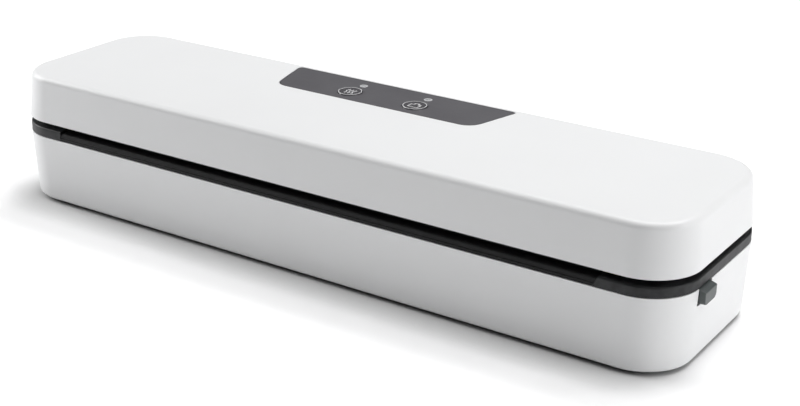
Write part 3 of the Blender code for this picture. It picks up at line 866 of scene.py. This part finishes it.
def lid_liner():
    """Charcoal lid liner with the gasket groove, hooks, hinge barrels and low stiffening ribs."""
    liner = block("liner_body", 0, 0, LINER_UNDER, LINER_TOP, LENGTH - 6.8, DEPTH - 6.8, LINER,
                  corner=CORNER - 3.4, steps=24)
    cut(liner, *[block("t", side * HINGE_X, 51.8, 45, 49.6, 36.8, 8) for side, _ in SIDES])
    extras = []
    for side, _ in SIDES:
        extras += [
            rod("t", (side * HINGE_X - 7.6, HINGE_Y, HINGE_Z), 15.2, BARREL, axis="X", sides=40),
            block("t", side * HINGE_X, 47.7, HINGE_Z, 50.2, 15.2, 3.4),
            hook(side),
            block("t", side * 182.6, BUTTON_Y, 47.9, 48.8, 7.0, 8.0, corner=1.0, steps=3)]
    for y in (14.0, 24.0, 34.0):
        extras.append(block("t", 0, y, 48.0, 48.8, 320, 1.2))
    for x in range(-150, 151, 50):
        extras.append(block("t", x, 24, 48.0, 48.8, 1.2, 21))
    extras.append(block("t", 0, -48.2, 48.2, 48.8, 336, 1.2))
    fuse(liner, *extras)
    groove = block("t", 0, CHAMBER_Y, 47.5, 49.8, 330.6, 43.2, corner=11.6, steps=12)
    cut(groove, block("t", 0, CHAMBER_Y, 40, 55, 320.2, 33.6, corner=6.8, steps=12))
    tools = [groove,
             block("t", 0, BAR_Y, 47.5, 49.8, 320.6, 8.6),
             block("t", 0, CHAMBER_Y, 47, 49.4, 300, 22, corner=6.0, steps=8, top=0.8),
             block("t", SUPPLY_X, 46.0, 45, 55, 12, 4.6, corner=1.2, steps=4)]
    tools += [rod("t", (x, y, 45), 9, 1.6, sides=24) for x, y in SCREW_SPOTS]
    cut(liner, *tools, *pin_bores())
    soften(liner, 0.18)
    place(liner, "lid", "lid_liner")


def hook(side):
    """One lid hook: a straight stem with a ramped barb at its foot."""
    points = [(184.1, 49.6), (184.1, 39.9), (183.6, 39.4), (180.9, 39.4), (179.3, 40.1), (179.3, 40.4),
              (181.1, 40.4), (181.1, 49.6)]
    return prism("t", [(side * x, z) for x, z in points], "Y", BUTTON_Y - 1.9, BUTTON_Y + 1.9)


def screw(node, x, y, z, head, high, shank, length, body):
    """A pan-head screw pointing up, with a threaded shank and a cross recess underneath."""
    pitch = 0.9
    profile = [(0, 0), (head * 0.72, 0), (head * 0.93, high * 0.25), (head, high * 0.6), (head, high),
               (shank * 0.8, high)]
    turns = int((length - 1.2) / pitch)
    for k in range(turns):
        start = high + 0.15 + k * pitch
        profile += [(shank * 0.8, start), (shank, start + pitch * 0.5)]
    profile += [(shank * 0.8, high + 0.15 + turns * pitch), (0, length + high - 0.5)]
    thing = spun(node + "_body", profile, ZINC, (x, y, z), sides=24)
    cut(thing, *cross_recess(x, y, z - 1, z + high * 0.65, head * 1.15, head * 0.28))
    place(thing, body, node)


def screws():
    for k, (x, y) in enumerate(SCREW_SPOTS):
        screw("cover_screw_%d" % (k + 1), x, y, 2.1, 2.8, 1.1, 1.2, 10.3, "base")
        screw("lid_screw_%d" % (k + 1), x, y, 47.1, 2.8, 1.2, 1.1, 8.2, "lid")
    for x, (_, word) in zip(BOARD_SCREWS, SIDES):
        screw("board_screw_" + word, x, BOARD_SCREW_Y, 57.9, 2.4, 1.2, 0.8, 6.2, "lid")


def bottom_cover():
    """Underside plate: softened wells, vents, a blank recess and a shallow border groove."""
    cover = block("cover_plate", 0, 0, 1.9, 4.3, LENGTH - 5.8, DEPTH - 5.8, GREY,
                  corner=CORNER - 3.0, steps=24)
    fuse(cover, *[rod("t", (x, y, 4.0), 3.7, 3.0, sides=24) for x, y in BOARD_PEGS])
    groove = block("t", 0, 0, 0, 2.4, LENGTH - 14, DEPTH - 14, corner=CORNER - 7, steps=16)
    cut(groove, block("t", 0, 0, -1, 5, LENGTH - 16, DEPTH - 16, corner=CORNER - 8, steps=16))
    tools = [groove, block("t", -30, 0, 0, 2.3, 96, 46, corner=3.0, steps=6)]
    for x, y in SCREW_SPOTS:
        tools += [rod("t", (x, y, 0), 3.5, 3.2, sides=32), rod("t", (x, y, 0), 9, 1.6, sides=24)]
    tools += [rod("t", (x, y, 0), 2.9, 7.4, sides=48) for x, y in FOOT_SPOTS.values()]
    tools += [block("t", 60 + 9 * k, 24, 0, 8, 3.0, 26, corner=1.45, steps=5) for k in range(6)]
    cut(cover, *tools)
    soften(cover, 0.25)
    place(cover, "base", "bottom_cover")


def feet():
    """Rubber feet with a dished sole and a softened rim."""
    profile = [(0, 0.45), (3.0, 0.4), (3.5, 0.1), (3.9, 0.0), (5.7, 0.0), (6.2, 0.15), (6.5, 0.6),
               (6.95, 2.3), (6.8, 2.6), (0, 2.6)]
    for spot, (x, y) in FOOT_SPOTS.items():
        foot = spun("pad_" + spot, profile, RUBBER, (x, y, 0), sides=48, smooth=50.0)
        place(foot, "base", "foot_" + spot)


def release_buttons():
    """End buttons with rounded lower corners and a sloping top, on their sliding arms."""
    for side, word in SIDES:
        half = 6.5
        low = 30.9
        high = 38.6
        curve = 2.6
        outline = [(BUTTON_Y - half, high), (BUTTON_Y + half, high)]
        for centre, start in ((half - curve, 0), (curve - half, -90)):
            for k in range(7):
                a = math.radians(start - 15 * k)
                outline.append((BUTTON_Y + centre + curve * math.cos(a), low + curve + curve * math.sin(a)))
        head = prism("button_" + word, outline, "X", side * 193.5, side * 203.0, BUTTON_GREY)
        slope = prism("t", [(side * x, z) for x, z in ((198.6, 38.7), (204.0, 37.0), (204.0, 40.0),
                                                       (198.6, 40.0))], "Y", -40, 0)
        cut(head, slope)
        soften(head, 0.55, 3)
        bake(head)
        extras = []
        for (x0, x1), (z0, z1), wide in (((193.0, 196.3), (22.0, 36.1), 20.0),
                                         ((174.5, 194.0), (30.9, 34.6), 6.0),
                                         ((174.5, 178.0), (34.0, 39.0), 6.0),
                                         ((177.0, 180.4), (37.8, 39.0), 6.0)):
            extras.append(block("t", side * (x0 + x1) / 2, BUTTON_Y, z0, z1, x1 - x0, wide))
        fuse(head, *extras)
        soften(head, 0.0)
        place(head, "release_button_" + word, "release_button_" + word)


def button_springs():
    """Return springs for the buttons: coils of wire fixed on the base."""
    turns = 5
    per_turn = 24
    start = 184.75
    length = 7.5
    ends = 1.0
    coil = 2.6
    wire = 0.32
    for side, word in SIDES:
        points = []
        for k in range((turns + 2) * per_turn + 1):
            turn = k / per_turn
            along = min(max(turn - ends, 0.0), turns) / turns * (length - 1.4)
            closed = 0.35 * (min(turn, ends) + max(turn - turns - ends, 0.0)) * 2
            a = 2 * math.pi * turn
            points.append((side * (start + along + closed), BUTTON_Y + coil * math.cos(a),
                           26.2 + coil * math.sin(a)))
        spring = tube("coil_" + word, points, wire, ZINC, sides=8)
        place(spring, "base", "button_spring_" + word)
        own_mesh(spring)


def control_panel():
    """Satin panel film in its darker frame."""
    inner = outline_plate("panel_plate", panel_outline(-0.55), PANEL_UNDER, 72.25, PANEL)
    cut(inner, *[rod("t", (x, KEY_Y, 60), 20, KEY_HOLE, sides=64) for x in KEY_X],
        *[rod("t", (x, LIGHT_Y, 60), 20, 2.4, sides=32) for x in KEY_X])
    soften(inner, 0.08)
    place(inner, "lid", "control_panel")
    frame_ring = outline_plate("panel_frame", panel_outline(0.0), PANEL_UNDER, PANEL_TOP, PANEL_EDGE)
    cut(frame_ring, outline_plate("t", panel_outline(-0.6), 70, 75))
    soften(frame_ring, 0.1)
    part_of(frame_ring, "lid")


def keys():
    """Dished round keys, each with a pale ring and a plain sign of its own."""
    profile = [(0, 72.42), (2.5, 72.45), (4.6, 72.56), (5.7, 72.72), (6.1, 72.78), (6.4, 72.74),
               (6.58, 72.55), (6.6, 71.8), (4.6, 71.8), (4.6, 66.4), (4.2, 66.0), (0, 66.0)]
    for x, word in KEY_WORDS:
        node = word + "_key"
        key = spun(word + "_cap", profile, KEY, (x, KEY_Y, 0), sides=64)
        place(key, node, node)
        ring = swept_ring(word + "_ring", round_path(x, KEY_Y, 6.18, 64),
                          [(-0.22, 72.6), (0.22, 72.6), (0.2, 72.8), (0.0, 72.86), (-0.2, 72.82)], PRINT)
        part_of(ring, node)
    for k in range(3):
        points = [(KEY_X[0] - 2.0 + 2.0 * k + 0.5 * math.sin(t * 1.05), KEY_Y - 2.8 + 0.7 * t, 72.5)
                  for t in range(9)]
        wave = tube("wave_%d" % (k + 1), smooth_path(points, 3), 0.24, PRINT, sides=8)
        part_of(wave, "vacuum_seal_key")
    x = KEY_X[1]
    route = [(x - 2.9, KEY_Y - 2.6), (x + 2.9, KEY_Y - 2.6), (x + 2.9, KEY_Y + 1.4),
             (x + 1.2, KEY_Y + 1.4), (x + 1.2, KEY_Y + 3.0), (x - 1.2, KEY_Y + 3.0),
             (x - 1.2, KEY_Y + 1.4), (x - 2.9, KEY_Y + 1.4)]
    sign = swept_outline("open_box_sign", route, 0.25, 72.36, 72.62, PRINT)
    part_of(sign, "seal_only_key")


def swept_outline(name, route, half, z0, z1, mat):
    """A thin raised line round a closed route of straight runs."""
    centre = Vector((sum(p[0] for p in route) / len(route), sum(p[1] for p in route) / len(route)))
    count = len(route)
    rings = []
    for i in range(count):
        here = Vector(route[i])
        before = (here - Vector(route[i - 1])).normalized()
        after = (Vector(route[(i + 1) % count]) - here).normalized()
        out = Vector((before.y + after.y, -before.x - after.x))
        out = out / max(out.length_squared / 2, 0.5)
        rings.append([(here.x + out.x * o, here.y + out.y * o, z)
                      for o, z in ((-half, z0), (half, z0), (half, z1), (-half, z1))])
    return loft(name, rings, mat, closed=True)


def lights():
    """Indicator light guides, each with a pale collar round its lens."""
    profile = [(0, 72.28), (1.0, 72.25), (1.5, 72.15), (1.6, 71.9), (1.6, 63.0), (2.1, 62.8),
               (2.2, 61.4), (0, 61.4)]
    for x, word in KEY_WORDS:
        node = word + "_light"
        lens = spun(word + "_lens", profile, LENS, (x, LIGHT_Y, 0), sides=40)
        place(lens, "lid", node)
        collar = swept_ring(word + "_collar", round_path(x, LIGHT_Y, 1.95, 40),
                            [(-0.28, 71.4), (0.28, 71.4), (0.28, 72.2), (0.0, 72.34), (-0.28, 72.25)],
                            PRINT)
        part_of(collar, "lid")


def hinge_pins():
    """Steel hinge pins with chamfered ends and a knurled middle."""
    profile = [(0, 0), (0.75, 0), (1.0, 0.3), (1.0, 13.0)]
    for k in range(12):
        profile += [(0.94, 13.2 + 0.8 * k), (1.0, 13.5 + 0.8 * k)]
    profile += [(1.0, PIN_LENGTH - 0.3), (0.75, PIN_LENGTH), (0, PIN_LENGTH)]
    for side, word in SIDES:
        pin = spun("pin_" + word, profile, ZINC, (side * HINGE_X - PIN_LENGTH / 2, HINGE_Y, HINGE_Z),
                   axis="X", sides=24)
        place(pin, "base", "hinge_pin_" + word)


def power_inlet():
    """Two-pin supply inlet: a softened flange, a rounded socket and separate metal pins."""
    inlet = block("inlet_body", INLET_X, 45.6, 13.7, 26.3, 20, 13.4, RUBBER, corner=1.0, steps=4)
    fuse(inlet, block("t", INLET_X, 48.2, 11.7, 28.3, 24, 2.2))
    cut(inlet, block("t", INLET_X, 52, 15.8, 24.2, 16.8, 19, corner=0.2, steps=2))
    soften(inlet, 0.3, 3)
    place(inlet, "base", "power_inlet")
    profile = [(0, 0), (1.2, 0), (1.2, 7.3), (1.05, 7.9), (0.7, 8.3), (0, 8.4)]
    for side, word in SIDES:
        pin = spun("inlet_pin_" + word, profile, STEEL, (INLET_X + side * 4.3, 41.5, INLET_Z), axis="Y",
                   sides=24)
        part_of(pin)


lid_shell()
base_shell()
base_deck()
bag_lip()
drip_tray()
gasket("lower_gasket", DECK_TOP + GAP, LID_BOTTOM - GAP, "base")
gasket("upper_gasket", 49.5, LID_BOTTOM, "lid")
seal_bar()
sealing_tape()
strip_clamps()
pressure_strip()
lid_liner()
screws()
bottom_cover()
feet()
release_buttons()
button_springs()
control_panel()
keys()
lights()
hinge_pins()
power_inlet()

# ---------------------------------------------------------------- inner works

CASE_X = 75.8
NIPPLE_Z = 32.7
VALVE_AT = (10, 26)
BOARD_TOP = 9.6
CORE_AT = (-122, 16)
CAN_AT = (-86, 16)
RELAY_AT = (-62, 8)
TERMINAL_AT = (-128, -22)
LID_BOARD_TOP = 61.0


def pan_head(name, x, y, z, radius):
    """A small pan head with a cross recess."""
    head = spun(name, [(0, z - 0.4), (radius * 0.9, z - 0.4), (radius, z), (radius, z + 0.5),
                       (radius * 0.8, z + 0.9), (0, z + 1.0)], ZINC, (x, y, 0), sides=24)
    cut(head, *cross_recess(x, y, z + 0.5, z + 3, radius * 1.2, 0.4))
    part_of(head)


def barbed_nipple(name, start, axis, length, radius, tip_first=True):
    """A hose nipple with two barbs, its tip at the start point or at the far end."""
    step = length / 4
    profile = [(0, 0), (radius * 0.7, 0), (radius, step), (radius * 0.75, step + 0.1), (radius, step * 2),
               (radius * 0.75, step * 2 + 0.1), (radius * 0.75, length), (0, length)]
    if not tip_first:
        profile = [(r, length - h) for r, h in reversed(profile)]
    return spun(name, profile, ZINC, start, axis=axis, sides=24)


def pump_motor():
    """Steel can with rolled ends, a pressed bearing boss and shallow side windows."""
    profile = [(0, 0.4), (4.4, 0.4), (4.6, 0.0), (10.6, 0.0), (11.7, 1.0), (11.7, 4.0), (11.3, 4.3),
               (11.3, 5.0), (11.7, 5.3), (11.8, 24.0), (11.4, 24.4), (11.4, 25.2), (11.8, 25.6),
               (11.8, 30.4), (11.0, 31.3), (6.2, 31.4), (5.8, 31.8), (3.0, 31.8), (2.7, 31.3), (0, 31.3)]
    can = spun("motor_can", profile, ZINC, (92.2, SHAFT_Y, SHAFT_Z), axis="X", sides=48)
    window = 112
    tools = [block("t", window, SHAFT_Y + side * 12, SHAFT_Z - 2.5, SHAFT_Z + 2.5, 7, 2.6)
             for side, _ in SIDES]
    cut(can, block("t", window, SHAFT_Y, SHAFT_Z + 10.7, SHAFT_Z + 14, 7, 5), *tools)
    place(can, "base", "pump_motor")


def pump_crankcase():
    """Moulded case with ribbed sides and a seam below its top."""
    case = block("pump_case", CASE_X, SHAFT_Y, 5.0, 29.6, 31.8, 28, CHARCOAL, corner=3.0, steps=6)
    seam = block("t", CASE_X, SHAFT_Y, 27.2, 27.7, 40, 36)
    cut(seam, block("t", CASE_X, SHAFT_Y, 26, 29, 31.0, 27.2, corner=2.7, steps=6))
    tools = [seam, rod("t", (55, SHAFT_Y, SHAFT_Z), 31, 9.0, axis="X", sides=48),
             rod("t", (55, SHAFT_Y, SHAFT_Z), 45, 1.7, axis="X", sides=24)]
    for side, _ in SIDES:
        tools += [block("t", CASE_X + 7.5 * k, SHAFT_Y + side * 14, 8.0, 25.5, 5.0, 1.8)
                  for k in (-1, 0, 1)]
    cut(case, *tools)
    soften(case, 0.25)
    place(case, "base", "pump_crankcase")


def pump_crank():
    """Shaft with chamfered ends and an eccentric disc lightened by three holes."""
    shaft = rod("crank_shaft", (66, SHAFT_Y, SHAFT_Z), 25.8, 1.2, STEEL, axis="X", sides=24, edge=0.25)
    disc = rod("t", (66.5, SHAFT_Y, SHAFT_Z + 1.5), 9, 5.5, axis="X", sides=48, edge=0.4)
    holes = ((-2.9, 2.6, 1.1), (2.9, 2.6, 1.1), (0.0, 4.6, 1.2))
    cut(disc, *[rod("t", (60, SHAFT_Y + y, SHAFT_Z + z), 20, radius, axis="X", sides=20)
                for y, z, radius in holes])
    fuse(shaft, disc)
    place(shaft, "pump_crank", "pump_crank")


def pump_head():
    """Diaphragm head with a ribbed top, four screws and two barbed nipples."""
    head = block("head_block", CASE_X, SHAFT_Y, 29.9, 35.6, 29, 25, GREY, corner=2.0, steps=6)
    spots = [(CASE_X + a * 11.6, SHAFT_Y + b * 9.6) for a in (-1, 1) for b in (-1, 1)]
    tools = [rod("t", (x, y, 34.2), 3, 2.0, sides=24) for x, y in spots]
    tools += [block("t", CASE_X, SHAFT_Y + 4.4 * k, 34.7, 37, 15, 2.6, corner=1.2, steps=4)
              for k in (-1, 0, 1)]
    cut(head, *tools)
    soften(head, 0.25)
    fuse(head, *[barbed_nipple("t", (54, SHAFT_Y + y, NIPPLE_Z), "X", 9.0, 1.9) for y in (-6, 6)])
    place(head, "base", "pump_head")
    for k, (x, y) in enumerate(spots):
        pan_head("head_screw_%d" % (k + 1), x, y, 34.5, 1.6)


def vent_valve():
    """Solenoid valve: a wound coil in a steel yoke, its nipple on top."""
    yoke = block("valve_yoke", *VALVE_AT, 4.7, 20, 16, 14, ZINC, corner=0.8, steps=4)
    cut(yoke, block("t", *VALVE_AT, 6.4, 18.3, 12.6, 30))
    soften(yoke, 0.25)
    place(yoke, "base", "vent_valve")
    wound = [(0, 6.6), (6.0, 6.6), (6.0, 7.4), (5.2, 7.6)]
    for k in range(12):
        wound += [(5.2, 7.75 + 0.75 * k), (5.45, 8.1 + 0.75 * k)]
    wound += [(5.2, 17.1), (6.0, 17.3), (6.0, 18.1), (0, 18.1)]
    part_of(spun("valve_coil", wound, COPPER, (*VALVE_AT, 0), sides=32))
    nipple = barbed_nipple("valve_nipple", (*VALVE_AT, 19.9), "Z", 5.0, 1.8, tip_first=False)
    part_of(nipple)


def resistor(name, x, y, z, body="base"):
    """A small resistor with waisted body, lying along X on bent leads."""
    half = [(-4.2, 0.1), (-4.2, 0.9), (-3.6, 1.4)]
    route = [(x + along, y, z + up) for along, up in half]
    route += [(x - along, y, z + up) for along, up in reversed(half)]
    part_of(tube(name + "_leads", route, 0.25, STEEL, sides=8), body)
    profile = [(0, 0), (0.8, 0), (1.15, 0.5), (1.15, 1.1), (0.9, 1.5), (0.9, 3.9), (1.15, 4.3),
               (1.15, 4.9), (0.8, 5.4), (0, 5.4)]
    part_of(spun(name + "_body", profile, TAPE, (x - 2.7, y, z + 1.4), axis="X", sides=20), body)


def chip(name, x, y, z, sx, sy, body="base"):
    """A flat integrated circuit with a dot, and a row of legs on both long sides."""
    case = block(name, x, y, z + 0.4, z + 2.0, sx, sy, CHARCOAL, corner=0.3, steps=2)
    cut(case, rod("t", (x - sx / 2 + 1.1, y - sy / 2 + 1.1, z + 1.8), 1, 0.45, sides=16))
    soften(case, 0.15)
    part_of(case, body)
    spacing = 1.6
    count = int(sx / spacing)
    first, *rest = [block(name + "_legs", x + spacing * (k - (count - 1) / 2), y, z + 0.05, z + 0.9, 0.6,
                          sy + 2.2, STEEL) for k in range(count)]
    fuse(first, *rest)
    cut(first, block("t", x, y, z - 1, z + 3, sx + 2, sy - 0.6))
    part_of(first, body)


def main_board():
    """Board with fixing holes, a driver chip, resistors and a screw terminal."""
    plate = block("board_plate", -95, 5, 8.0, BOARD_TOP, 112, 72, BOARD, corner=2.0, steps=5)
    cut(plate, *[rod("t", (x, y, 5), 8, 1.6, sides=24) for x, y in BOARD_PEGS])
    place(plate, "base", "main_board")
    chip("driver_chip", -88, -8, BOARD_TOP, 13, 6.4)
    rows = [(-70 + 0.5 * k, -14 + 4.2 * k) for k in range(4)] + [(-108, -24 + 4.2 * k) for k in range(3)]
    for k, (x, y) in enumerate(rows):
        resistor("resistor_%d" % (k + 1), x, y, BOARD_TOP)
    screw_terminal()


def screw_terminal():
    """Three-way terminal: a grey body with wire entries in front and sunk screws on top."""
    middle, y = TERMINAL_AT
    spots = [middle + 6 * k for k in (-1, 0, 1)]
    terminal = block("screw_terminal", middle, y, 9.7, 18.5, 18, 8.6, GREY, corner=0.5, steps=2)
    cut(terminal, *[rod("t", (x, y, 16.5), 4, 2.1, sides=24) for x in spots],
        *[block("t", x, y - 4, 11.0, 14.6, 3.8, 5) for x in spots])
    soften(terminal, 0.25)
    part_of(terminal)
    for k, x in enumerate(spots):
        pan_head("terminal_screw_%d" % (k + 1), x, y, 16.9, 1.7)


def slots(tools, keep):
    """Join cutting blocks and leave only their rims, outside a block that is kept."""
    first, *rest = tools
    fuse(first, *rest)
    return cut(first, keep)


def power_transformer():
    """Laminated iron core around a wound bobbin."""
    x, y = CORE_AT
    core = block("iron_core", x, y, 9.9, 34, 38, 32, ZINC, corner=0.5, steps=2)
    sheets = [block("t", x, y + 2.6 * k, 5, 40, 44, 0.45) for k in range(-5, 6)]
    cut(core, slots(sheets, block("t", x, y, 0, 33.5, 37.0, 60)))
    place(core, "base", "power_transformer")
    winding = block("core_winding", x, y, 12.6, 31.3, 25.6, 38.6, COPPER, corner=4.0, steps=6)
    bands = [block("t", x, y, 14.2 + 2.2 * k, 14.6 + 2.2 * k, 40, 50) for k in range(8)]
    cut(winding, slots(bands, block("t", x, y, 5, 40, 24.8, 37.8, corner=3.6, steps=6)))
    soften(winding, 0.3)
    part_of(winding)


def filter_capacitor():
    """Sleeved can with a rolled groove and a scored top."""
    profile = [(0, 9.9), (6.2, 9.9), (6.8, 10.5), (6.8, 12.2), (6.2, 12.8), (6.2, 13.2), (6.9, 13.9),
               (6.95, 28.8), (6.5, 30.3), (5.6, 30.8), (5.2, 30.5), (0, 30.5)]
    can = spun("capacitor_can", profile, CHARCOAL, (*CAN_AT, 0), sides=40)
    cut(can, *cross_recess(*CAN_AT, 30.2, 33, 8.5, 0.5))
    place(can, "base", "filter_capacitor")


def heater_relay():
    """Relay cover with soft edges, a recessed top and a vent pip."""
    cover = block("relay_cover", *RELAY_AT, 9.9, 25.4, 19, 15, GREY, corner=0.8, steps=3)
    skirt = block("t", *RELAY_AT, 11.4, 11.8, 25, 21)
    cut(skirt, block("t", *RELAY_AT, 10, 13, 18.4, 14.4, corner=0.5, steps=3))
    cut(cover, skirt, block("t", *RELAY_AT, 25.1, 27, 14, 10, corner=0.8, steps=3))
    soften(cover, 0.3)
    fuse(cover, rod("t", (-66.5, 11, 24.9), 0.45, 0.8, sides=20))
    place(cover, "base", "heater_relay")


def control_board():
    """Lid board with its screw holes, a touch controller, two resistors and a lead socket."""
    plate = block("lid_board_plate", -4, BOARD_SCREW_Y, 59.4, LID_BOARD_TOP, 92, 26, BOARD,
                  corner=1.2, steps=4)
    cut(plate, *[rod("t", (x, BOARD_SCREW_Y, 55), 9, 1.5, sides=24) for x in BOARD_SCREWS])
    place(plate, "lid", "control_board")
    chip("controller_chip", -4, 30, LID_BOARD_TOP, 11.2, 5.6, "lid")
    resistor("lid_resistor_1", -4, 37, LID_BOARD_TOP, "lid")
    resistor("lid_resistor_2", 27, 24, LID_BOARD_TOP, "lid")
    socket = block("lead_socket", -45.5, 38.6, 61.05, 65.0, 6.4, 7.6, LINER, corner=0.4, steps=2)
    cut(socket, block("t", -48, 38.6, 62.0, 64.2, 4.0, 5.8))
    soften(socket, 0.2)
    part_of(socket, "lid")


def key_switches():
    """Push switches: a square body with four rivets and a round plunger."""
    for x, word in KEY_WORDS:
        body = block(word + "_tact", x, KEY_Y, 61.3, 63.9, 6, 6, CHARCOAL, corner=0.5, steps=3)
        soften(body, 0.2)
        rivets = [rod("t", (x + a * 2.2, KEY_Y + b * 2.2, 63.6), 0.55, 0.45, sides=16)
                  for a in (-1, 1) for b in (-1, 1)]
        fuse(body, rod("t", (x, KEY_Y, 63.5), 1.5, 1.75, sides=32, edge=0.2), *rivets)
        place(body, "lid", word + "_switch")


pump_motor()
pump_crankcase()
pump_crank()
pump_head()
vent_valve()
main_board()
power_transformer()
filter_capacitor()
heater_relay()
control_board()
key_switches()


def lid_lead():
    """The lead that crosses the hinge line from the lid board down into the base."""
    route = [(-52.0, 38, 60.2), (-56.5, 40.4, 60.1), (-59.0, 42.6, 59.6)]
    route += [(SUPPLY_X, y, z) for y, z in ((44.6, 57.6), (45.7, 54.5), (46, 51), (45.8, 48), (45.3, 45),
                                            (45.1, 42), (45.1, 36), (45.0, 30), (44.4, 23), (42.6, 16.5),
                                            (39.8, 12.9), (36, 11.3))]
    thing = tube("lid_lead_wire", smooth_path(route, 5), 1.1, RUBBER, sides=14)
    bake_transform(thing)
    place(thing, "base", "lid_lead")


lid_lead()

# ---------------------------------------------------------------- carried-over pieces

LOOKS = {
    "release_button": BUTTON_GREY, "foot_": RUBBER, "power_inlet": RUBBER, "pump_lead": RUBBER,
    "inlet_lead": RUBBER, "lid_lead": RUBBER, "button_spring": ZINC, "hinge_pin": ZINC, "pump_motor": ZINC,
    "screw": ZINC, "gasket": FOAM, "_board": BOARD, "_light": LENS, "_key": KEY, "hose": HOSE,
    "sealing_tape": TAPE, "heater_lead": TAPE, "pressure_strip": SILICONE, "heating_strip": STEEL,
    "pump_crankcase": CHARCOAL, "pump_crank": STEEL, "lid_liner": LINER, "strip_clamp": BRASS,
    "control_panel": PANEL, "bottom_cover": GREY, "seal_bar": GREY, "drip_tray": GREY, "pump_head": GREY,
    "vent_valve": GREY, "heater_relay": GREY,
}


def look_for(node):
    """The material of the first entry whose word the node's name holds."""
    for word, look in LOOKS.items():
        if word in node:
            return look
    return CHARCOAL


for name, node in nodes.items():
    node.data.materials.clear()
    node.data.materials.append(look_for(name))

# ---------------------------------------------------------------- studio

# Painted contact shadow on the floor near the object: how far, how dark, towards where it looks; and the
# floor's painted glow elsewhere.
SHADE_REACH = 0.022
SHADE_NEAR = (0.74, 0.74, 0.74)
SHADE_FAR = (0.96, 0.96, 0.965)
LEAN = (0.45, 0.7, 0.55)
GLOW = 0.15
SKY = 0.016
FOCAL_LENGTH = 66.6
LAMPS = {
    "above": ((0.30, 0.15, 1.3), (0.05, 0.0, 0.05), (1.4, 0.9), 8.2),
    "above_back": ((0.1, 0.62, 1.2), (0.0, 0.0, 0.05), (1.2, 0.3), 9.4),
    "right": ((1.3, 0.15, 0.5), (0.0, 0.0, 0.03), (0.8, 0.8), 6.8),
    "left": ((-1.2, -0.2, 0.6), (0.0, 0.0, 0.03), (0.8, 0.8), 12.5),
}


def studio():
    """A wide pale floor with a painted contact shadow near the object and a faint painted glow elsewhere,
    under an even sky.
    """
    floor = bpy.data.meshes.new("floor")
    bm = bmesh.new()
    bmesh.ops.create_grid(bm, x_segments=2, y_segments=2, size=6.0)
    bm.to_mesh(floor)
    bm.free()
    thing = bpy.data.objects.new("floor", floor)
    bpy.context.scene.collection.objects.link(thing)
    mat, tree, shader = new_material("studio_floor")
    # The floor's colour is darkened by occlusion near the object: a painted contact shadow.
    near = tree.nodes.new("ShaderNodeAmbientOcclusion")
    near.inputs["Distance"].default_value = SHADE_REACH
    near.samples = 8
    lean = tree.nodes.new("ShaderNodeCombineXYZ")
    for socket, value in zip(lean.inputs, LEAN):
        socket.default_value = value
    link(tree, lean.outputs[0], near.inputs["Normal"])
    shade = ramp(tree, near.outputs["AO"], 0.45, 1.0)
    link(tree, mix_colour(tree, shade, SHADE_NEAR, SHADE_FAR), shader.inputs["Base Color"])
    # The floor's emission, weakened near the object, is a painted glow.
    shader.inputs["Emission Color"].default_value = (1, 1, 1, 1)
    link(tree, ramp(tree, shade, 0.0, 1.0, 0.0, GLOW), shader.inputs["Emission Strength"])
    shader.inputs["Roughness"].default_value = 0.7
    shader.inputs["Specular IOR Level"].default_value = 0.2
    floor.materials.append(mat)
    world = bpy.data.worlds.new("studio")
    world.use_nodes = True
    back = world.node_tree.nodes["Background"]
    back.inputs["Color"].default_value = (1, 1, 1, 1)
    back.inputs["Strength"].default_value = SKY
    bpy.context.scene.world = world


def area(name, place_at, aim, size, power):
    """A soft rectangular lamp turned to a point."""
    data = bpy.data.lights.new(name, "AREA")
    data.shape = "RECTANGLE"
    data.size, data.size_y = size
    data.energy = power
    lamp = bpy.data.objects.new(name, data)
    lamp.location = place_at
    bpy.context.scene.collection.objects.link(lamp)
    direction = Vector(aim) - Vector(place_at)
    lamp.rotation_euler = direction.to_track_quat("-Z", "Y").to_euler()


def camera():
    """Three-quarter view from the front right, a little above."""
    az = math.radians(33.5)
    el = math.radians(22.23)
    roll = math.radians(0.51)
    distance = 0.757
    aim = Vector((0.0249, 0.0, 0.0272 + SHELL_BOTTOM * MM))
    back = Vector((math.sin(az) * math.cos(el), -math.cos(az) * math.cos(el), math.sin(el)))
    right = Vector((math.cos(az), math.sin(az), 0))
    up = back.cross(right)
    turned_right = right * math.cos(roll) + up * math.sin(roll)
    turned_up = up * math.cos(roll) - right * math.sin(roll)
    data = bpy.data.cameras.new("view")
    data.sensor_width = 36.0
    data.lens = FOCAL_LENGTH
    data.clip_start = 0.01
    data.clip_end = 50
    thing = bpy.data.objects.new("view", data)
    matrix = Matrix((turned_right, turned_up, back)).transposed().to_4x4()
    matrix.translation = aim + back * distance
    thing.matrix_world = matrix
    bpy.context.scene.collection.objects.link(thing)
    bpy.context.scene.camera = thing


studio()
camera()
for lamp_name, facts in LAMPS.items():
    area(lamp_name, *facts)
bpy.context.scene.view_settings.view_transform = "Standard"
